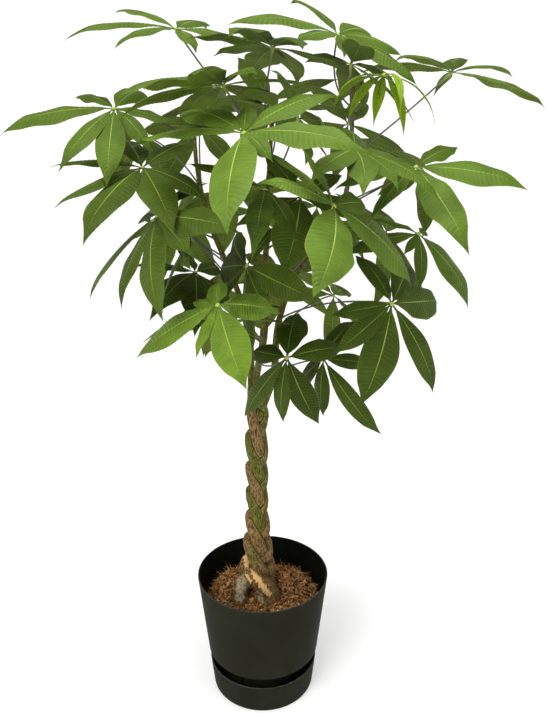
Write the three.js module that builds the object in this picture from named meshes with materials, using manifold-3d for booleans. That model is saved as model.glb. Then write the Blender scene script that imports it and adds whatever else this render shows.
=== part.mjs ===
// A potted money tree: three plaited stems that branch into a crown of palmate leaves,
// set in coir soil in a plastic nursery pot, whose neck stands in a reservoir saucer.
// Millimetres, +Z up. The origin is the centre of the saucer's flat base.
import * as THREE from "three";
import { mergeVertices } from "three/addons/utils/BufferGeometryUtils.js";
import Module from "manifold-3d";

// Pot and saucer. Both taper like one cone, with a dark recess between them.
const RIM_RADIUS = 120;
const RIM_HEIGHT = 233;
const SHOULDER_RADIUS = 102.7;
const SHOULDER_HEIGHT = 77;
const NECK_TOP_RADIUS = 78;
const NECK_BASE_RADIUS = 76;
const SAUCER_RIM_RADIUS = 100.5;
const SAUCER_BASE_RADIUS = 94.5;
const SAUCER_HEIGHT = 55.5;
const WALL = 3;
const EDGE_CHAMFER = 1.5;
const RIM_CHAMFER = 1;
const CLEARANCE = 0.3;
const WATER_HOLE_RADIUS = 4.5;
const WATER_HOLE_HEIGHT = 16;
const WATER_HOLE_SIDES = 6;
const WATER_HOLES = 6;
const ROUND_SEGMENTS = 32;

// Soil: a lumpy surface below the rim, with a plain hole for each stem. Its heaps and its
// dip are round bumps of a height and a radius at a place.
const SOIL_HEIGHT = 180;
const SOIL_EDGE_DROP = 8;
const SOIL_RINGS = 6;
const SOIL_SEGMENTS = 26;
const SOIL_BUMPS = [
  { at: [-60, 40], height: 16, radius: 42 },
  { at: [58, 35], height: 20, radius: 47 },
  { at: [-42, -22], height: -14, radius: 26 },
];
const LUMP_HEIGHT = 2.2;
const LUMP_LENGTH = 33;
const HOLE_REACH = 60;

// Plait: three strands on a figure of eight, seen a little from the side. It stands a little
// left of the pot's middle.
const PLANTING_DEPTH = 60;
const PLAIT_TOP = 545;
const PLAIT_PITCH = 145;
const PLAIT_HALF_WIDTH = 16.5;
const PLAIT_HALF_DEPTH = 12.5;
const PLAIT_TURN = THREE.MathUtils.degToRad(33);
const PLAIT_PLACE = new THREE.Vector3(-10, 0, 0);
const STRAND_RADIUS = 8;
const FOOT_RADIUS = 11;
const FOOT_SPREAD = 0.9;
const FOOT_HEIGHT = 90;
const SHOOT_TIP_RADIUS = 3;
const STEM_SIDES = 7;
const ROUTE_STEP = 12;
const STRAND_STEP = 19;
const CROWN_STEP = 40;
const CROWN_BASE = 605;
const SHOOT_SLIMNESS = 0.8;

// Leaves: leaflets round a knot at the end of each leaf stalk.
const HUB_RADIUS = 6.5;
const STALK_RADIUS = 1.7;
const STALK_END_RADIUS = 2.4;
const STALK_SIDES = 4;
const STALK_STEPS = 3;
const STALK_LEAN = 53;
const STALK_BEND = 0.45;
const BLADE_WIDTH_SHARE = 0.29;
const BLADE_THICKNESS = 2;
const BLADE_ROOT_HALF_WIDTH = 1.5;
const BLADE_ROOF = 0.16;
const BLADE_ARCH = 0.06;
const BLADE_START = 0.07;
const BLADE_SKEW = 0.92;
const BLADE_FULLNESS = 0.85;
const BLADE_ROLL = THREE.MathUtils.degToRad(7);
const FINE_STATIONS = [0, 0.24, 0.5, 0.78];
const COARSE_STATIONS = [0, 0.34, 0.72];

const wasm = await Module();
wasm.setup();

const plant = new THREE.Group();
plant.name = "potted_money_tree";

const finishes = {
  pot: new THREE.MeshStandardMaterial({ color: 0x2b2c26, roughness: 0.6, metalness: 0 }),
  saucer: new THREE.MeshStandardMaterial({ color: 0x26272a, roughness: 0.55, metalness: 0 }),
  soil: new THREE.MeshStandardMaterial({ color: 0x4a2f22, roughness: 1, metalness: 0 }),
  bark: new THREE.MeshStandardMaterial({ color: 0x6b5a3c, roughness: 0.85, metalness: 0 }),
  leaf: new THREE.MeshStandardMaterial({ color: 0x4f8a34, roughness: 0.5, metalness: 0 }),
};

function addPiece(name, geometry, finish) {
  geometry.computeVertexNormals();
  const piece = new THREE.Mesh(geometry, finish);
  piece.name = name;
  plant.add(piece);
}

function toSolid(geometry) {
  const bare = geometry.clone();
  bare.deleteAttribute("normal");
  bare.deleteAttribute("uv");
  const merged = mergeVertices(bare, 1e-4);
  const vertProperties = new Float32Array(merged.attributes.position.array);
  const triVerts = new Uint32Array(merged.index.array);
  return new wasm.Manifold(new wasm.Mesh({ numProp: 3, vertProperties, triVerts }));
}

function toGeometry(solid) {
  const mesh = solid.getMesh();
  const geometry = new THREE.BufferGeometry();
  const positions = new Float32Array(mesh.vertProperties);
  geometry.setAttribute("position", new THREE.BufferAttribute(positions, 3));
  geometry.setIndex([...mesh.triVerts]);
  return geometry;
}

function meshOf(points, faces) {
  const geometry = new THREE.BufferGeometry().setFromPoints(points);
  geometry.setIndex(faces);
  return geometry;
}

// ---------------------------------------------------------------- pot and saucer

// A solid of revolution about Z from a profile of [radius, height] pairs.
function turned(profile, segments) {
  const points = profile.map(([radius, height]) => new THREE.Vector2(radius, height));
  return new THREE.LatheGeometry(points, segments).rotateX(Math.PI / 2);
}

const potFloor = WALL + CLEARANCE;
const potLedge = SHOULDER_HEIGHT + WALL;

// Inner radius of the pot at a height: the body above its ledge, the neck below.
function potInside(height) {
  if (height > potLedge) {
    const rise = (height - SHOULDER_HEIGHT) / (RIM_HEIGHT - SHOULDER_HEIGHT);
    return THREE.MathUtils.lerp(SHOULDER_RADIUS, RIM_RADIUS, rise) - WALL;
  }
  return THREE.MathUtils.lerp(NECK_BASE_RADIUS, NECK_TOP_RADIUS, height / SHOULDER_HEIGHT) - WALL;
}

const potProfile = [
  [0, potFloor],
  [NECK_BASE_RADIUS, potFloor],
  [NECK_TOP_RADIUS, SHOULDER_HEIGHT],
  [SHOULDER_RADIUS - RIM_CHAMFER, SHOULDER_HEIGHT],
  [SHOULDER_RADIUS, SHOULDER_HEIGHT + EDGE_CHAMFER],
  [RIM_RADIUS, RIM_HEIGHT - RIM_CHAMFER],
  [RIM_RADIUS - RIM_CHAMFER, RIM_HEIGHT],
  [RIM_RADIUS - WALL, RIM_HEIGHT],
  [potInside(potLedge + CLEARANCE), potLedge],
  [potInside(potLedge), potLedge],
  [potInside(potFloor + WALL), potFloor + WALL],
  [0, potFloor + WALL],
];
let pot = toSolid(turned(potProfile, ROUND_SEGMENTS));
for (let i = 0; i < WATER_HOLES; i += 1) {
  const depth = 4 * WALL;
  const hole = new THREE.CylinderGeometry(WATER_HOLE_RADIUS, WATER_HOLE_RADIUS, depth, WATER_HOLE_SIDES);
  hole.translate(0, NECK_BASE_RADIUS - WALL / 2, 0);
  hole.rotateZ(((i + 0.5) / WATER_HOLES) * 2 * Math.PI);
  hole.translate(0, 0, WATER_HOLE_HEIGHT);
  pot = pot.subtract(toSolid(hole));
}
addPiece("pot", toGeometry(pot), finishes.pot);

const saucerProfile = [
  [0, 0],
  [SAUCER_BASE_RADIUS - EDGE_CHAMFER, 0],
  [SAUCER_BASE_RADIUS, EDGE_CHAMFER],
  [SAUCER_RIM_RADIUS, SAUCER_HEIGHT],
  [SAUCER_RIM_RADIUS - WALL, SAUCER_HEIGHT],
  [SAUCER_BASE_RADIUS - WALL, WALL],
  [0, WALL],
];
addPiece("saucer", turned(saucerProfile, ROUND_SEGMENTS), finishes.saucer);

// ---------------------------------------------------------------- stems

// A closed round bar along a curve. Its rings stand at the given shares of the curve's
// length, its radius is a function of the ring's share and centre, and growth makes it
// that much longer at its root.
function taperedBar(curve, radiusAt, sides, shares, growth = 0) {
  const points = [];
  const faces = [];
  let normal = new THREE.Vector3(1, 0.2, 0);
  shares.forEach((share, i) => {
    const tangent = curve.getTangentAt(share);
    const centre = curve.getPointAt(share);
    normal = normal.clone().projectOnPlane(tangent).normalize();
    const binormal = new THREE.Vector3().crossVectors(tangent, normal);
    const radius = radiusAt(share, centre);
    if (i === 0) {
      centre.addScaledVector(tangent, -growth);
    }
    for (let j = 0; j < sides; j += 1) {
      const angle = (j / sides) * 2 * Math.PI;
      const point = centre.clone();
      point.addScaledVector(normal, radius * Math.cos(angle));
      point.addScaledVector(binormal, radius * Math.sin(angle));
      points.push(point);
    }
  });
  const last = (shares.length - 1) * sides;
  for (let i = 0; i < last; i += sides) {
    for (let j = 0; j < sides; j += 1) {
      const next = (j + 1) % sides;
      const [a, b] = [i + j, i + next];
      faces.push(a, b, a + sides, b, b + sides, a + sides);
    }
  }
  for (let j = 1; j < sides - 1; j += 1) {
    faces.push(0, j + 1, j, last, last + j, last + j + 1);
  }
  return meshOf(points, faces);
}

const evenShares = (steps) => Array.from({ length: steps + 1 }, (_, i) => i / steps);

// How much of the foot's spread a strand has at a height: all at the soil, none above the foot.
function footShare(height) {
  return THREE.MathUtils.clamp(1 - (height - SOIL_HEIGHT) / FOOT_HEIGHT, 0, 1) ** 2;
}

// Centre of one of the three strands at a height inside the plait.
function plaitPoint(strand, height) {
  const turns = (height - PLAIT_TOP) / PLAIT_PITCH + strand / 3 + 0.75;
  const phase = turns * 2 * Math.PI;
  const spread = 1 + FOOT_SPREAD * footShare(height);
  const point = new THREE.Vector3(Math.sin(phase), 0, height);
  point.x *= PLAIT_HALF_WIDTH * spread;
  point.y = -PLAIT_HALF_DEPTH * spread * Math.sin(2 * phase);
  return point.applyAxisAngle(new THREE.Vector3(0, 0, 1), PLAIT_TURN).add(PLAIT_PLACE);
}

// A stem's radius: swollen at the foot, even in the plait, tapering in the crown.
function barkRadius({ route, slimness }, height) {
  if (height < PLAIT_TOP) {
    return slimness * THREE.MathUtils.lerp(STRAND_RADIUS, FOOT_RADIUS, footShare(height));
  }
  const rise = (height - PLAIT_TOP) / (route.getPoint(1).z - PLAIT_TOP);
  return slimness * THREE.MathUtils.lerp(STRAND_RADIUS, SHOOT_TIP_RADIUS, Math.sqrt(rise));
}

// A main stem stands in the soil, climbs the plait and goes on through its crown points.
function mainStem(strand, crownPoints) {
  const points = [];
  const foot = plaitPoint(strand, SOIL_HEIGHT);
  points.push(new THREE.Vector3(foot.x, foot.y, SOIL_HEIGHT - PLANTING_DEPTH));
  const count = Math.round((PLAIT_TOP - SOIL_HEIGHT) / ROUTE_STEP);
  for (let i = 0; i <= count; i += 1) {
    points.push(plaitPoint(strand, THREE.MathUtils.lerp(SOIL_HEIGHT, PLAIT_TOP, i / count)));
  }
  points.push(...crownPoints.map((place) => new THREE.Vector3(...place)));
  return { route: new THREE.CatmullRomCurve3(points, false, "centripetal"), slimness: 1 };
}

// A side shoot grows out of the middle stem.
function sideShoot(places) {
  const points = places.map((place) => new THREE.Vector3(...place));
  return { route: new THREE.CatmullRomCurve3(points), slimness: SHOOT_SLIMNESS };
}

const mainStems = {
  left: mainStem(0, [
    [-18, 10, 612], [-22, 14, 700], [-50, 12, 790], [-82, 0, 875], [-97, -8, 955], [-100, -12, 1030],
  ]),
  middle: mainStem(1, [
    [-8, -22, 615], [6, -12, 696], [8, -4, 820], [13, -10, 945], [20, -28, 1040],
  ]),
  right: mainStem(2, [
    [20, 16, 612], [27, 20, 695], [52, 18, 775], [98, 8, 850], [133, 2, 915], [140, -4, 1075],
  ]),
};
const sideShoots = {
  front: sideShoot([[-6, -20, 624], [2, -60, 700], [8, -100, 790], [14, -118, 880]]),
  back: sideShoot([[6, -10, 690], [2, 44, 760], [8, 92, 855], [12, 112, 960]]),
};

// Rings stand close together in the plait and apart in the crown.
function stemShares(route) {
  const shares = [0];
  while (shares[shares.length - 1] < 1) {
    const share = shares[shares.length - 1];
    const step = route.getPointAt(share).z < CROWN_BASE ? STRAND_STEP : CROWN_STEP;
    shares.push(Math.min(share + step / route.getLength(), 1));
  }
  return shares;
}

function barkBar(stem) {
  const radiusAt = (share, centre) => barkRadius(stem, centre.z);
  return toSolid(taperedBar(stem.route, radiusAt, STEM_SIDES, stemShares(stem.route)));
}

const middleWithShoots = barkBar(mainStems.middle)
  .add(barkBar(sideShoots.front))
  .add(barkBar(sideShoots.back));
addPiece("stem_left", toGeometry(barkBar(mainStems.left)), finishes.bark);
addPiece("stem_middle", toGeometry(middleWithShoots), finishes.bark);
addPiece("stem_right", toGeometry(barkBar(mainStems.right)), finishes.bark);

// ---------------------------------------------------------------- soil

// Heaps behind the trunk on the left and right, a dip left of it, and small lumps.
function soilHeight(x, y) {
  let height = SOIL_HEIGHT;
  for (const { at, height: rise, radius } of SOIL_BUMPS) {
    height += rise * Math.exp(-((x - at[0]) ** 2 + (y - at[1]) ** 2) / radius ** 2);
  }
  const [across, along] = [(2 * Math.PI * x) / LUMP_LENGTH, (2 * Math.PI * y) / LUMP_LENGTH];
  height += LUMP_HEIGHT * Math.sin(across) * Math.cos(1.2 * along);
  return height + 0.7 * LUMP_HEIGHT * Math.sin(0.6 * across - 1.6 * along);
}

function soilBody() {
  const points = [];
  const faces = [];
  const rows = [];
  const ring = (radiusAt, heightAt) => {
    rows.push(points.length);
    for (let j = 0; j < SOIL_SEGMENTS; j += 1) {
      const angle = (j / SOIL_SEGMENTS) * 2 * Math.PI;
      const [x, y] = [Math.cos(angle), Math.sin(angle)];
      const radius = radiusAt(x, y);
      points.push(new THREE.Vector3(x * radius, y * radius, heightAt(x * radius, y * radius)));
    }
  };
  const flat = (height) => () => height;
  const inside = (height) => potInside(height) - 3 * CLEARANCE;
  const bottom = potFloor + WALL + CLEARANCE;
  const ledge = potLedge + CLEARANCE;
  const edge = inside(SOIL_HEIGHT - SOIL_EDGE_DROP);
  ring(flat(inside(bottom)), flat(bottom));
  ring(flat(inside(SHOULDER_HEIGHT)), flat(ledge));
  ring(flat(inside(ledge)), flat(ledge));
  ring(flat(edge), soilHeight);
  for (let i = 1; i < SOIL_RINGS; i += 1) {
    ring(flat(edge * (1 - i / SOIL_RINGS)), soilHeight);
  }
  for (let i = 0; i < rows.length - 1; i += 1) {
    for (let j = 0; j < SOIL_SEGMENTS; j += 1) {
      const next = (j + 1) % SOIL_SEGMENTS;
      const [a, b, c, d] = [rows[i] + j, rows[i] + next, rows[i + 1] + j, rows[i + 1] + next];
      faces.push(a, b, c, b, d, c);
    }
  }
  const low = points.push(new THREE.Vector3(0, 0, bottom)) - 1;
  const high = points.push(new THREE.Vector3(0, 0, soilHeight(0, 0))) - 1;
  const last = rows[rows.length - 1];
  for (let j = 0; j < SOIL_SEGMENTS; j += 1) {
    const next = (j + 1) % SOIL_SEGMENTS;
    faces.push(low, next, j, high, last + j, last + next);
  }
  return meshOf(points, faces);
}

// Each stem's hole is the stem's own form, a clearance wider and deeper.
function stemHole(stem) {
  const radiusAt = (share, centre) => barkRadius(stem, centre.z) + 2 * CLEARANCE;
  const isNear = (share) => stem.route.getPointAt(share).z < SOIL_HEIGHT + HOLE_REACH;
  const shares = stemShares(stem.route).filter(isNear);
  return toSolid(taperedBar(stem.route, radiusAt, STEM_SIDES, shares, CLEARANCE));
}

let soil = toSolid(soilBody());
for (const stem of Object.values(mainStems)) {
  soil = soil.subtract(stemHole(stem));
}
addPiece("soil", toGeometry(soil), finishes.soil);

// ---------------------------------------------------------------- leaves

// Half width of a blade along its length: a short stalk, widest past the middle, a drawn-out tip.
function bladeOutline(share) {
  const blade = THREE.MathUtils.clamp((share - BLADE_START) / (1 - BLADE_START), 0, 1);
  return Math.sin(Math.PI * blade ** BLADE_SKEW) ** BLADE_FULLNESS;
}

// One leaflet: a thin roof along a drooping midrib, pointed at the tip.
function leaflet(root, along, up, length, width, stations) {
  const across = new THREE.Vector3().crossVectors(up, along);
  const rolled = up.clone().applyAxisAngle(along, BLADE_ROLL);
  across.applyAxisAngle(along, BLADE_ROLL);
  const points = [];
  const faces = [];
  const place = (share, side, lift) => {
    const arch = BLADE_ARCH * length * 4 * share * (1 - share);
    const point = root.clone().addScaledVector(along, share * length);
    point.addScaledVector(across, side).addScaledVector(rolled, lift).addScaledVector(up, arch);
    return points.push(point) - 1;
  };
  let previous = null;
  for (const share of stations) {
    const half = Math.max((width / 2) * bladeOutline(share), BLADE_ROOT_HALF_WIDTH);
    const drop = BLADE_ROOF * half;
    const section = [
      place(share, -half, -drop),
      place(share, 0, BLADE_THICKNESS / 2),
      place(share, half, -drop),
      place(share, 0, -BLADE_THICKNESS / 2),
    ];
    if (previous === null) {
      faces.push(section[0], section[1], section[3], section[1], section[2], section[3]);
    } else {
      for (let k = 0; k < 4; k += 1) {
        const [a, b] = [previous[k], previous[(k + 1) % 4]];
        const [c, d] = [section[k], section[(k + 1) % 4]];
        const mirrored = k === 1 || k === 2;
        faces.push(...(mirrored ? [a, d, b, a, c, d] : [a, c, b, b, c, d]));
      }
    }
    previous = section;
  }
  const tip = place(1, 0, 0);
  for (let k = 0; k < 4; k += 1) {
    faces.push(previous[k], tip, previous[(k + 1) % 4]);
  }
  return meshOf(points, faces);
}

// A leaf's upper side faces an azimuth (0 the front, 90 the right) and an elevation.
function leafFrame([azimuth, elevation]) {
  const [turn, tilt] = [azimuth, elevation].map(THREE.MathUtils.degToRad);
  const frontward = new THREE.Vector3(Math.sin(turn), -Math.cos(turn), 0);
  const upward = new THREE.Vector3(0, 0, 1);
  return {
    facing: frontward.clone().multiplyScalar(Math.cos(tilt)).addScaledVector(upward, Math.sin(tilt)),
    top: upward.clone().multiplyScalar(Math.cos(tilt)).addScaledVector(frontward, -Math.sin(tilt)),
    side: new THREE.Vector3(Math.cos(turn), Math.sin(turn), 0),
  };
}

// The stalk leaves its stem a clearance off the bark, where its tilted foot comes nearest to
// the flats of the stem's sides, and bends up to the hub.
function stalkCurve(hub, stem, joins) {
  const shares = stemShares(stem.route);
  const places = shares.map((share) => stem.route.getPointAt(share));
  const next = places.findIndex((place) => place.z > joins);
  const [below, above] = [places[next - 1], places[next]];
  const centre = below.clone().lerp(above, (joins - below.z) / (above.z - below.z));
  const rising = above.clone().sub(below).normalize();
  const outward = hub.clone().sub(centre).projectOnPlane(rising).normalize();
  const lean = THREE.MathUtils.degToRad(STALK_LEAN);
  const foot = Math.cos(lean) * STALK_END_RADIUS;
  const bark = barkRadius(stem, joins) * Math.cos(Math.PI / STEM_SIDES / 2);
  const start = centre.addScaledVector(outward, bark + foot + CLEARANCE);
  const heading = outward.clone().multiplyScalar(Math.sin(lean)).addScaledVector(rising, Math.cos(lean));
  const reach = STALK_BEND * start.distanceTo(hub);
  return new THREE.QuadraticBezierCurve3(start, start.clone().addScaledVector(heading, reach), hub);
}

function stalkRadius(share) {
  const end = Math.abs(2 * share - 1) ** 6;
  return THREE.MathUtils.lerp(STALK_RADIUS, STALK_END_RADIUS, end);
}

// leaflets holds [clock angle seen facing the leaf, length, width where it isn't the usual share].
function leaf({ stem, joins, hub, faces, droop, leaflets, stations = FINE_STATIONS }) {
  const centre = new THREE.Vector3(...hub);
  const { facing, top, side } = leafFrame(faces);
  const fall = THREE.MathUtils.degToRad(droop);
  const curve = stalkCurve(centre, { ...mainStems, ...sideShoots }[stem], joins);
  let solid = toSolid(taperedBar(curve, stalkRadius, STALK_SIDES, evenShares(STALK_STEPS)));
  solid = solid.add(toSolid(new THREE.OctahedronGeometry(HUB_RADIUS).translate(...hub)));
  for (const [clock, length, width = BLADE_WIDTH_SHARE * length] of leaflets) {
    const angle = THREE.MathUtils.degToRad(clock);
    const outward = top.clone().multiplyScalar(Math.cos(angle)).addScaledVector(side, Math.sin(angle));
    const along = outward.clone().multiplyScalar(Math.cos(fall)).addScaledVector(facing, -Math.sin(fall));
    const up = facing.clone().multiplyScalar(Math.cos(fall)).addScaledVector(outward, Math.sin(fall));
    solid = solid.add(toSolid(leaflet(centre, along, up, length, width, stations)));
  }
  return toGeometry(solid);
}

// Leaves that the front shows, from the top down.
const frontLeaves = [
  { stem: "middle", joins: 985, hub: [-125, 15, 1155], faces: [30, 70], droop: 5,
    leaflets: [[264, 170, 35], [348, 175], [237, 140], [183, 95], [42, 155], [110, 130]] },
  { stem: "right", joins: 1045, hub: [115, 0, 1145], faces: [45, 60], droop: 4,
    leaflets: [[18, 170], [278, 190, 40], [255, 120], [70, 160], [96, 160], [150, 140], [216, 80]] },
  { stem: "middle", joins: 1000, hub: [20, -60, 1120], faces: [105, 80], droop: 5,
    leaflets: [[60, 130], [93, 185, 53], [120, 175], [270, 155], [303, 165], [180, 130], [0, 120]] },
  { stem: "middle", joins: 980, hub: [-45, -145, 1065], faces: [-128, 78], droop: 5,
    leaflets: [[93, 180], [138, 140], [60, 155], [27, 110], [303, 130], [255, 120], [200, 150]] },
  { stem: "left", joins: 995, hub: [-205, -70, 1040], faces: [15, 60], droop: 15,
    leaflets: [[276, 170], [219, 135, 34], [189, 155, 40], [150, 90], [24, 145], [330, 110], [90, 100]] },
  { stem: "left", joins: 850, hub: [-165, -95, 960], faces: [0, 70], droop: 5,
    leaflets: [[225, 145], [195, 190], [159, 175], [130, 130], [24, 150], [340, 160], [285, 150]] },
  { stem: "front", joins: 870, hub: [-15, -230, 1005], faces: [-30, 60], droop: 5,
    leaflets: [[270, 190], [298, 185], [333, 95], [159, 185, 62], [93, 165, 40], [128, 80], [30, 140]] },
  { stem: "middle", joins: 970, hub: [25, -45, 1040], faces: [150, 80], droop: 0,
    leaflets: [[102, 110, 22], [294, 145], [200, 100], [351, 130], [60, 130], [250, 130]] },
  { stem: "right", joins: 1010, hub: [130, -50, 1100], faces: [105, 60], droop: 5,
    leaflets: [[111, 150], [64, 95], [128, 140], [285, 160], [245, 100], [180, 130]] },
  { stem: "right", joins: 1030, hub: [160, -175, 1075], faces: [135, 80], droop: 36,
    leaflets: [[108, 90, 15], [138, 85, 16], [303, 95, 10], [171, 100, 17], [231, 90, 9],
      [27, 80, 10], [70, 80, 10]] },
  { stem: "right", joins: 975, hub: [290, 15, 1095], faces: [105, 80], droop: 5,
    leaflets: [[327, 160, 36], [298, 160, 36], [268, 160, 30], [108, 140, 16], [183, 170], [30, 140]] },
  { stem: "right", joins: 895, hub: [216, -125, 962], faces: [-21, 60], droop: 10,
    leaflets: [[291, 125], [30, 95, 30], [90, 152], [147, 170, 48], [204, 110], [258, 120]] },
  { stem: "front", joins: 790, hub: [95, -245, 920], faces: [60, 40], droop: 5,
    leaflets: [[237, 170, 63], [141, 170, 55], [90, 120], [297, 120], [20, 120], [330, 110]] },
  { stem: "front", joins: 850, hub: [57, -166, 925], faces: [15, 38], droop: 6,
    leaflets: [[200, 115, 60], [250, 100], [108, 100], [60, 85], [335, 90]] },
  { stem: "right", joins: 905, hub: [125, -180, 985], faces: [45, 70], droop: 5,
    leaflets: [[249, 140], [222, 130], [192, 100], [165, 130], [45, 160], [114, 80], [310, 130]] },
  { stem: "front", joins: 745, hub: [-15, -180, 835], faces: [-60, 20], droop: 15,
    leaflets: [[165, 130, 42], [288, 140], [262, 160], [236, 120], [96, 140, 42], [130, 85], [20, 80]] },
  { stem: "front", joins: 705, hub: [-50, -250, 797], faces: [-30, 45], droop: 12,
    leaflets: [[234, 140, 48], [143, 122, 51], [82, 82, 36], [328, 50, 30], [275, 50, 18],
      [188, 75, 18]] },
  { stem: "left", joins: 820, hub: [-135, -170, 900], faces: [-60, 50], droop: 15,
    leaflets: [[219, 180], [129, 180, 44], [75, 145], [102, 115], [276, 150], [165, 135], [330, 120]] },
  { stem: "left", joins: 805, hub: [-95, -140, 865], faces: [-87, 30], droop: 5,
    leaflets: [[96, 130, 32], [300, 100], [50, 100], [235, 110], [160, 110]] },
  { stem: "left", joins: 730, hub: [-105, -10, 795], faces: [70, 62], droop: 7,
    leaflets: [[261, 170], [238, 170], [90, 115], [50, 120], [200, 120], [310, 110]] },
  { stem: "right", joins: 715, hub: [185, -170, 780], faces: [15, 30], droop: 35,
    leaflets: [[273, 90], [78, 155, 53], [195, 160, 55], [141, 185, 33], [354, 130],
      [42, 150], [235, 110]] },
  { stem: "right", joins: 830, hub: [235, -80, 865], faces: [30, 50], droop: 30,
    leaflets: [[130, 160, 42], [192, 85, 24], [282, 120], [345, 100], [60, 80, 18], [235, 40, 14]] },
  { stem: "front", joins: 650, hub: [40, -165, 700], faces: [-15, 30], droop: 45,
    leaflets: [[228, 165, 32], [153, 130, 40], [190, 125, 30], [351, 140, 48], [60, 115], [288, 120]] },
  { stem: "right", joins: 615, hub: [100, -60, 665], faces: [-30, 30], droop: 45,
    leaflets: [[138, 175, 32], [240, 110], [75, 90], [300, 120], [0, 140], [190, 120]] },
  { stem: "front", joins: 660, hub: [-55, -120, 740], faces: [-165, 60], droop: 5,
    leaflets: [[177, 150], [24, 120], [220, 120], [330, 130], [100, 120], [270, 110]] },
  { stem: "middle", joins: 930, hub: [55, -100, 1025], faces: [105, 40], droop: 5,
    leaflets: [[132, 110], [98, 140], [264, 130], [310, 130], [180, 110]] },
  { stem: "middle", joins: 850, hub: [10, -185, 935], faces: [30, 70], droop: 3,
    leaflets: [[212, 170, 32], [190, 130, 28], [51, 130], [330, 130], [246, 90]] },
];

// Leaves of the far side, with leaflets spaced evenly but for a seeded variation.
const backLeaves = [
  { stem: "left", joins: 930, hub: [-205, 175, 1005], faces: [-125, 52], droop: 15 },
  { stem: "left", joins: 915, hub: [-110, 180, 1020], faces: [-150, 50], droop: 15 },
  { stem: "back", joins: 945, hub: [15, 235, 1065], faces: [175, 55], droop: 8 },
  { stem: "right", joins: 995, hub: [155, 210, 1025], faces: [140, 50], droop: 12 },
  { stem: "right", joins: 900, hub: [270, 90, 950], faces: [109, 48], droop: 20 },
  { stem: "left", joins: 770, hub: [-150, 140, 870], faces: [-135, 40], droop: 20 },
  { stem: "back", joins: 870, hub: [-50, 240, 900], faces: [-165, 40], droop: 20 },
  { stem: "back", joins: 845, hub: [105, 280, 875], faces: [155, 40], droop: 20 },
  { stem: "right", joins: 800, hub: [220, 130, 840], faces: [125, 35], droop: 22 },
  { stem: "left", joins: 690, hub: [-80, 150, 740], faces: [-142, 32], droop: 29 },
  { stem: "back", joins: 750, hub: [30, 210, 755], faces: [175, 35], droop: 26 },
  { stem: "right", joins: 690, hub: [130, 140, 725], faces: [140, 35], droop: 25 },
];
const BACK_LEAFLETS = 5;
let seed = 11;
function nextRandom() {
  seed = (seed * 16807) % 2147483647;
  return seed / 2147483647;
}
for (const place of backLeaves) {
  place.stations = COARSE_STATIONS;
  place.leaflets = [];
  for (let i = 0; i < BACK_LEAFLETS; i += 1) {
    const clock = ((i + 0.4 * nextRandom()) / BACK_LEAFLETS) * 360;
    place.leaflets.push([clock, 125 + 40 * nextRandom()]);
  }
}

[...frontLeaves, ...backLeaves].forEach((place, index) => {
  const name = `leaf_${String(index + 1).padStart(2, "0")}`;
  addPiece(name, leaf(place), finishes.leaf);
});

export default plant;
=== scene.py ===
import math
import random

import bmesh
import bpy
import numpy as np
from mathutils import Matrix, Vector, noise


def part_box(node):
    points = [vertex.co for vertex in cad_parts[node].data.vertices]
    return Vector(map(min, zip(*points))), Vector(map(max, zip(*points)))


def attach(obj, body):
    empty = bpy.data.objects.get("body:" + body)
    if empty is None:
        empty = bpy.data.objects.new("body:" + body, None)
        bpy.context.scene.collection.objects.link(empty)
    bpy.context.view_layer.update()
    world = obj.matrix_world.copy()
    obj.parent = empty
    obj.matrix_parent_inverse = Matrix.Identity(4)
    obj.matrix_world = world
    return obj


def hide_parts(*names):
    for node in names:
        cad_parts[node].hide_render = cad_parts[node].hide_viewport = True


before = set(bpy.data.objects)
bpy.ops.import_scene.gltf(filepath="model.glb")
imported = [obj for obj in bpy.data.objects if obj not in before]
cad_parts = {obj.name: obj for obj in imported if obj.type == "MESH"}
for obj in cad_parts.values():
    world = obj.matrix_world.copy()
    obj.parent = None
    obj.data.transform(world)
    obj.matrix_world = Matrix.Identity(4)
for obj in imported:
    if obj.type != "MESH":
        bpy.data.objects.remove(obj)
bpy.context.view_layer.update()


# The reservoir saucer is one injection-moulded bowl of near-black polypropylene with a satin
# skin. It stands on its flat base, holds the water, and nothing fixes it to the pot.
MM = 0.001
TURN_STEPS = 160
CORNER_STEPS = 6
WALL = 3 * MM
RIM_CORNER = 0.9 * MM
SAUCER_BASE_RADIUS = 94.5 * MM
SAUCER_BASE_CORNER = 3 * MM
SAUCER_LIP = 0.8 * WALL
SAUCER_BLACK = (0.0125, 0.0130, 0.0080, 1)
# A painted highlight along the rim: its colour, and how far below the rim its band starts and ends.
RIM_HIGHLIGHT = (0.075, 0.080, 0.074, 1)
RIM_HIGHLIGHT_FROM = 0.9 * MM
RIM_HIGHLIGHT_TO = 0.2 * MM
PLASTIC_GRAIN = 0.12 * MM


class Wire:
    """A value inside a finish. Arithmetic on wires adds the Math nodes for it."""

    def __init__(self, finish, socket):
        self.finish = finish
        self.socket = socket

    def through(self, operation, *others):
        return self.finish.add("ShaderNodeMath", {"operation": operation}, dict(enumerate((self, *others))))

    def after(self, operation, other):
        return self.finish.add("ShaderNodeMath", {"operation": operation}, {0: other, 1: self})

    def __add__(self, other):
        return self.through("ADD", other)

    def __radd__(self, other):
        return self.after("ADD", other)

    def __sub__(self, other):
        return self.through("SUBTRACT", other)

    def __rsub__(self, other):
        return self.after("SUBTRACT", other)

    def __mul__(self, other):
        return self.through("MULTIPLY", other)

    def __rmul__(self, other):
        return self.after("MULTIPLY", other)

    def __truediv__(self, other):
        return self.through("DIVIDE", other)

    def between(self, low, high):
        """0 below low, 1 above high, smooth between them."""
        reach = {"Value": self, "From Min": low, "From Max": high}
        return self.finish.add("ShaderNodeMapRange", {"interpolation_type": "SMOOTHSTEP"}, reach)


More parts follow.
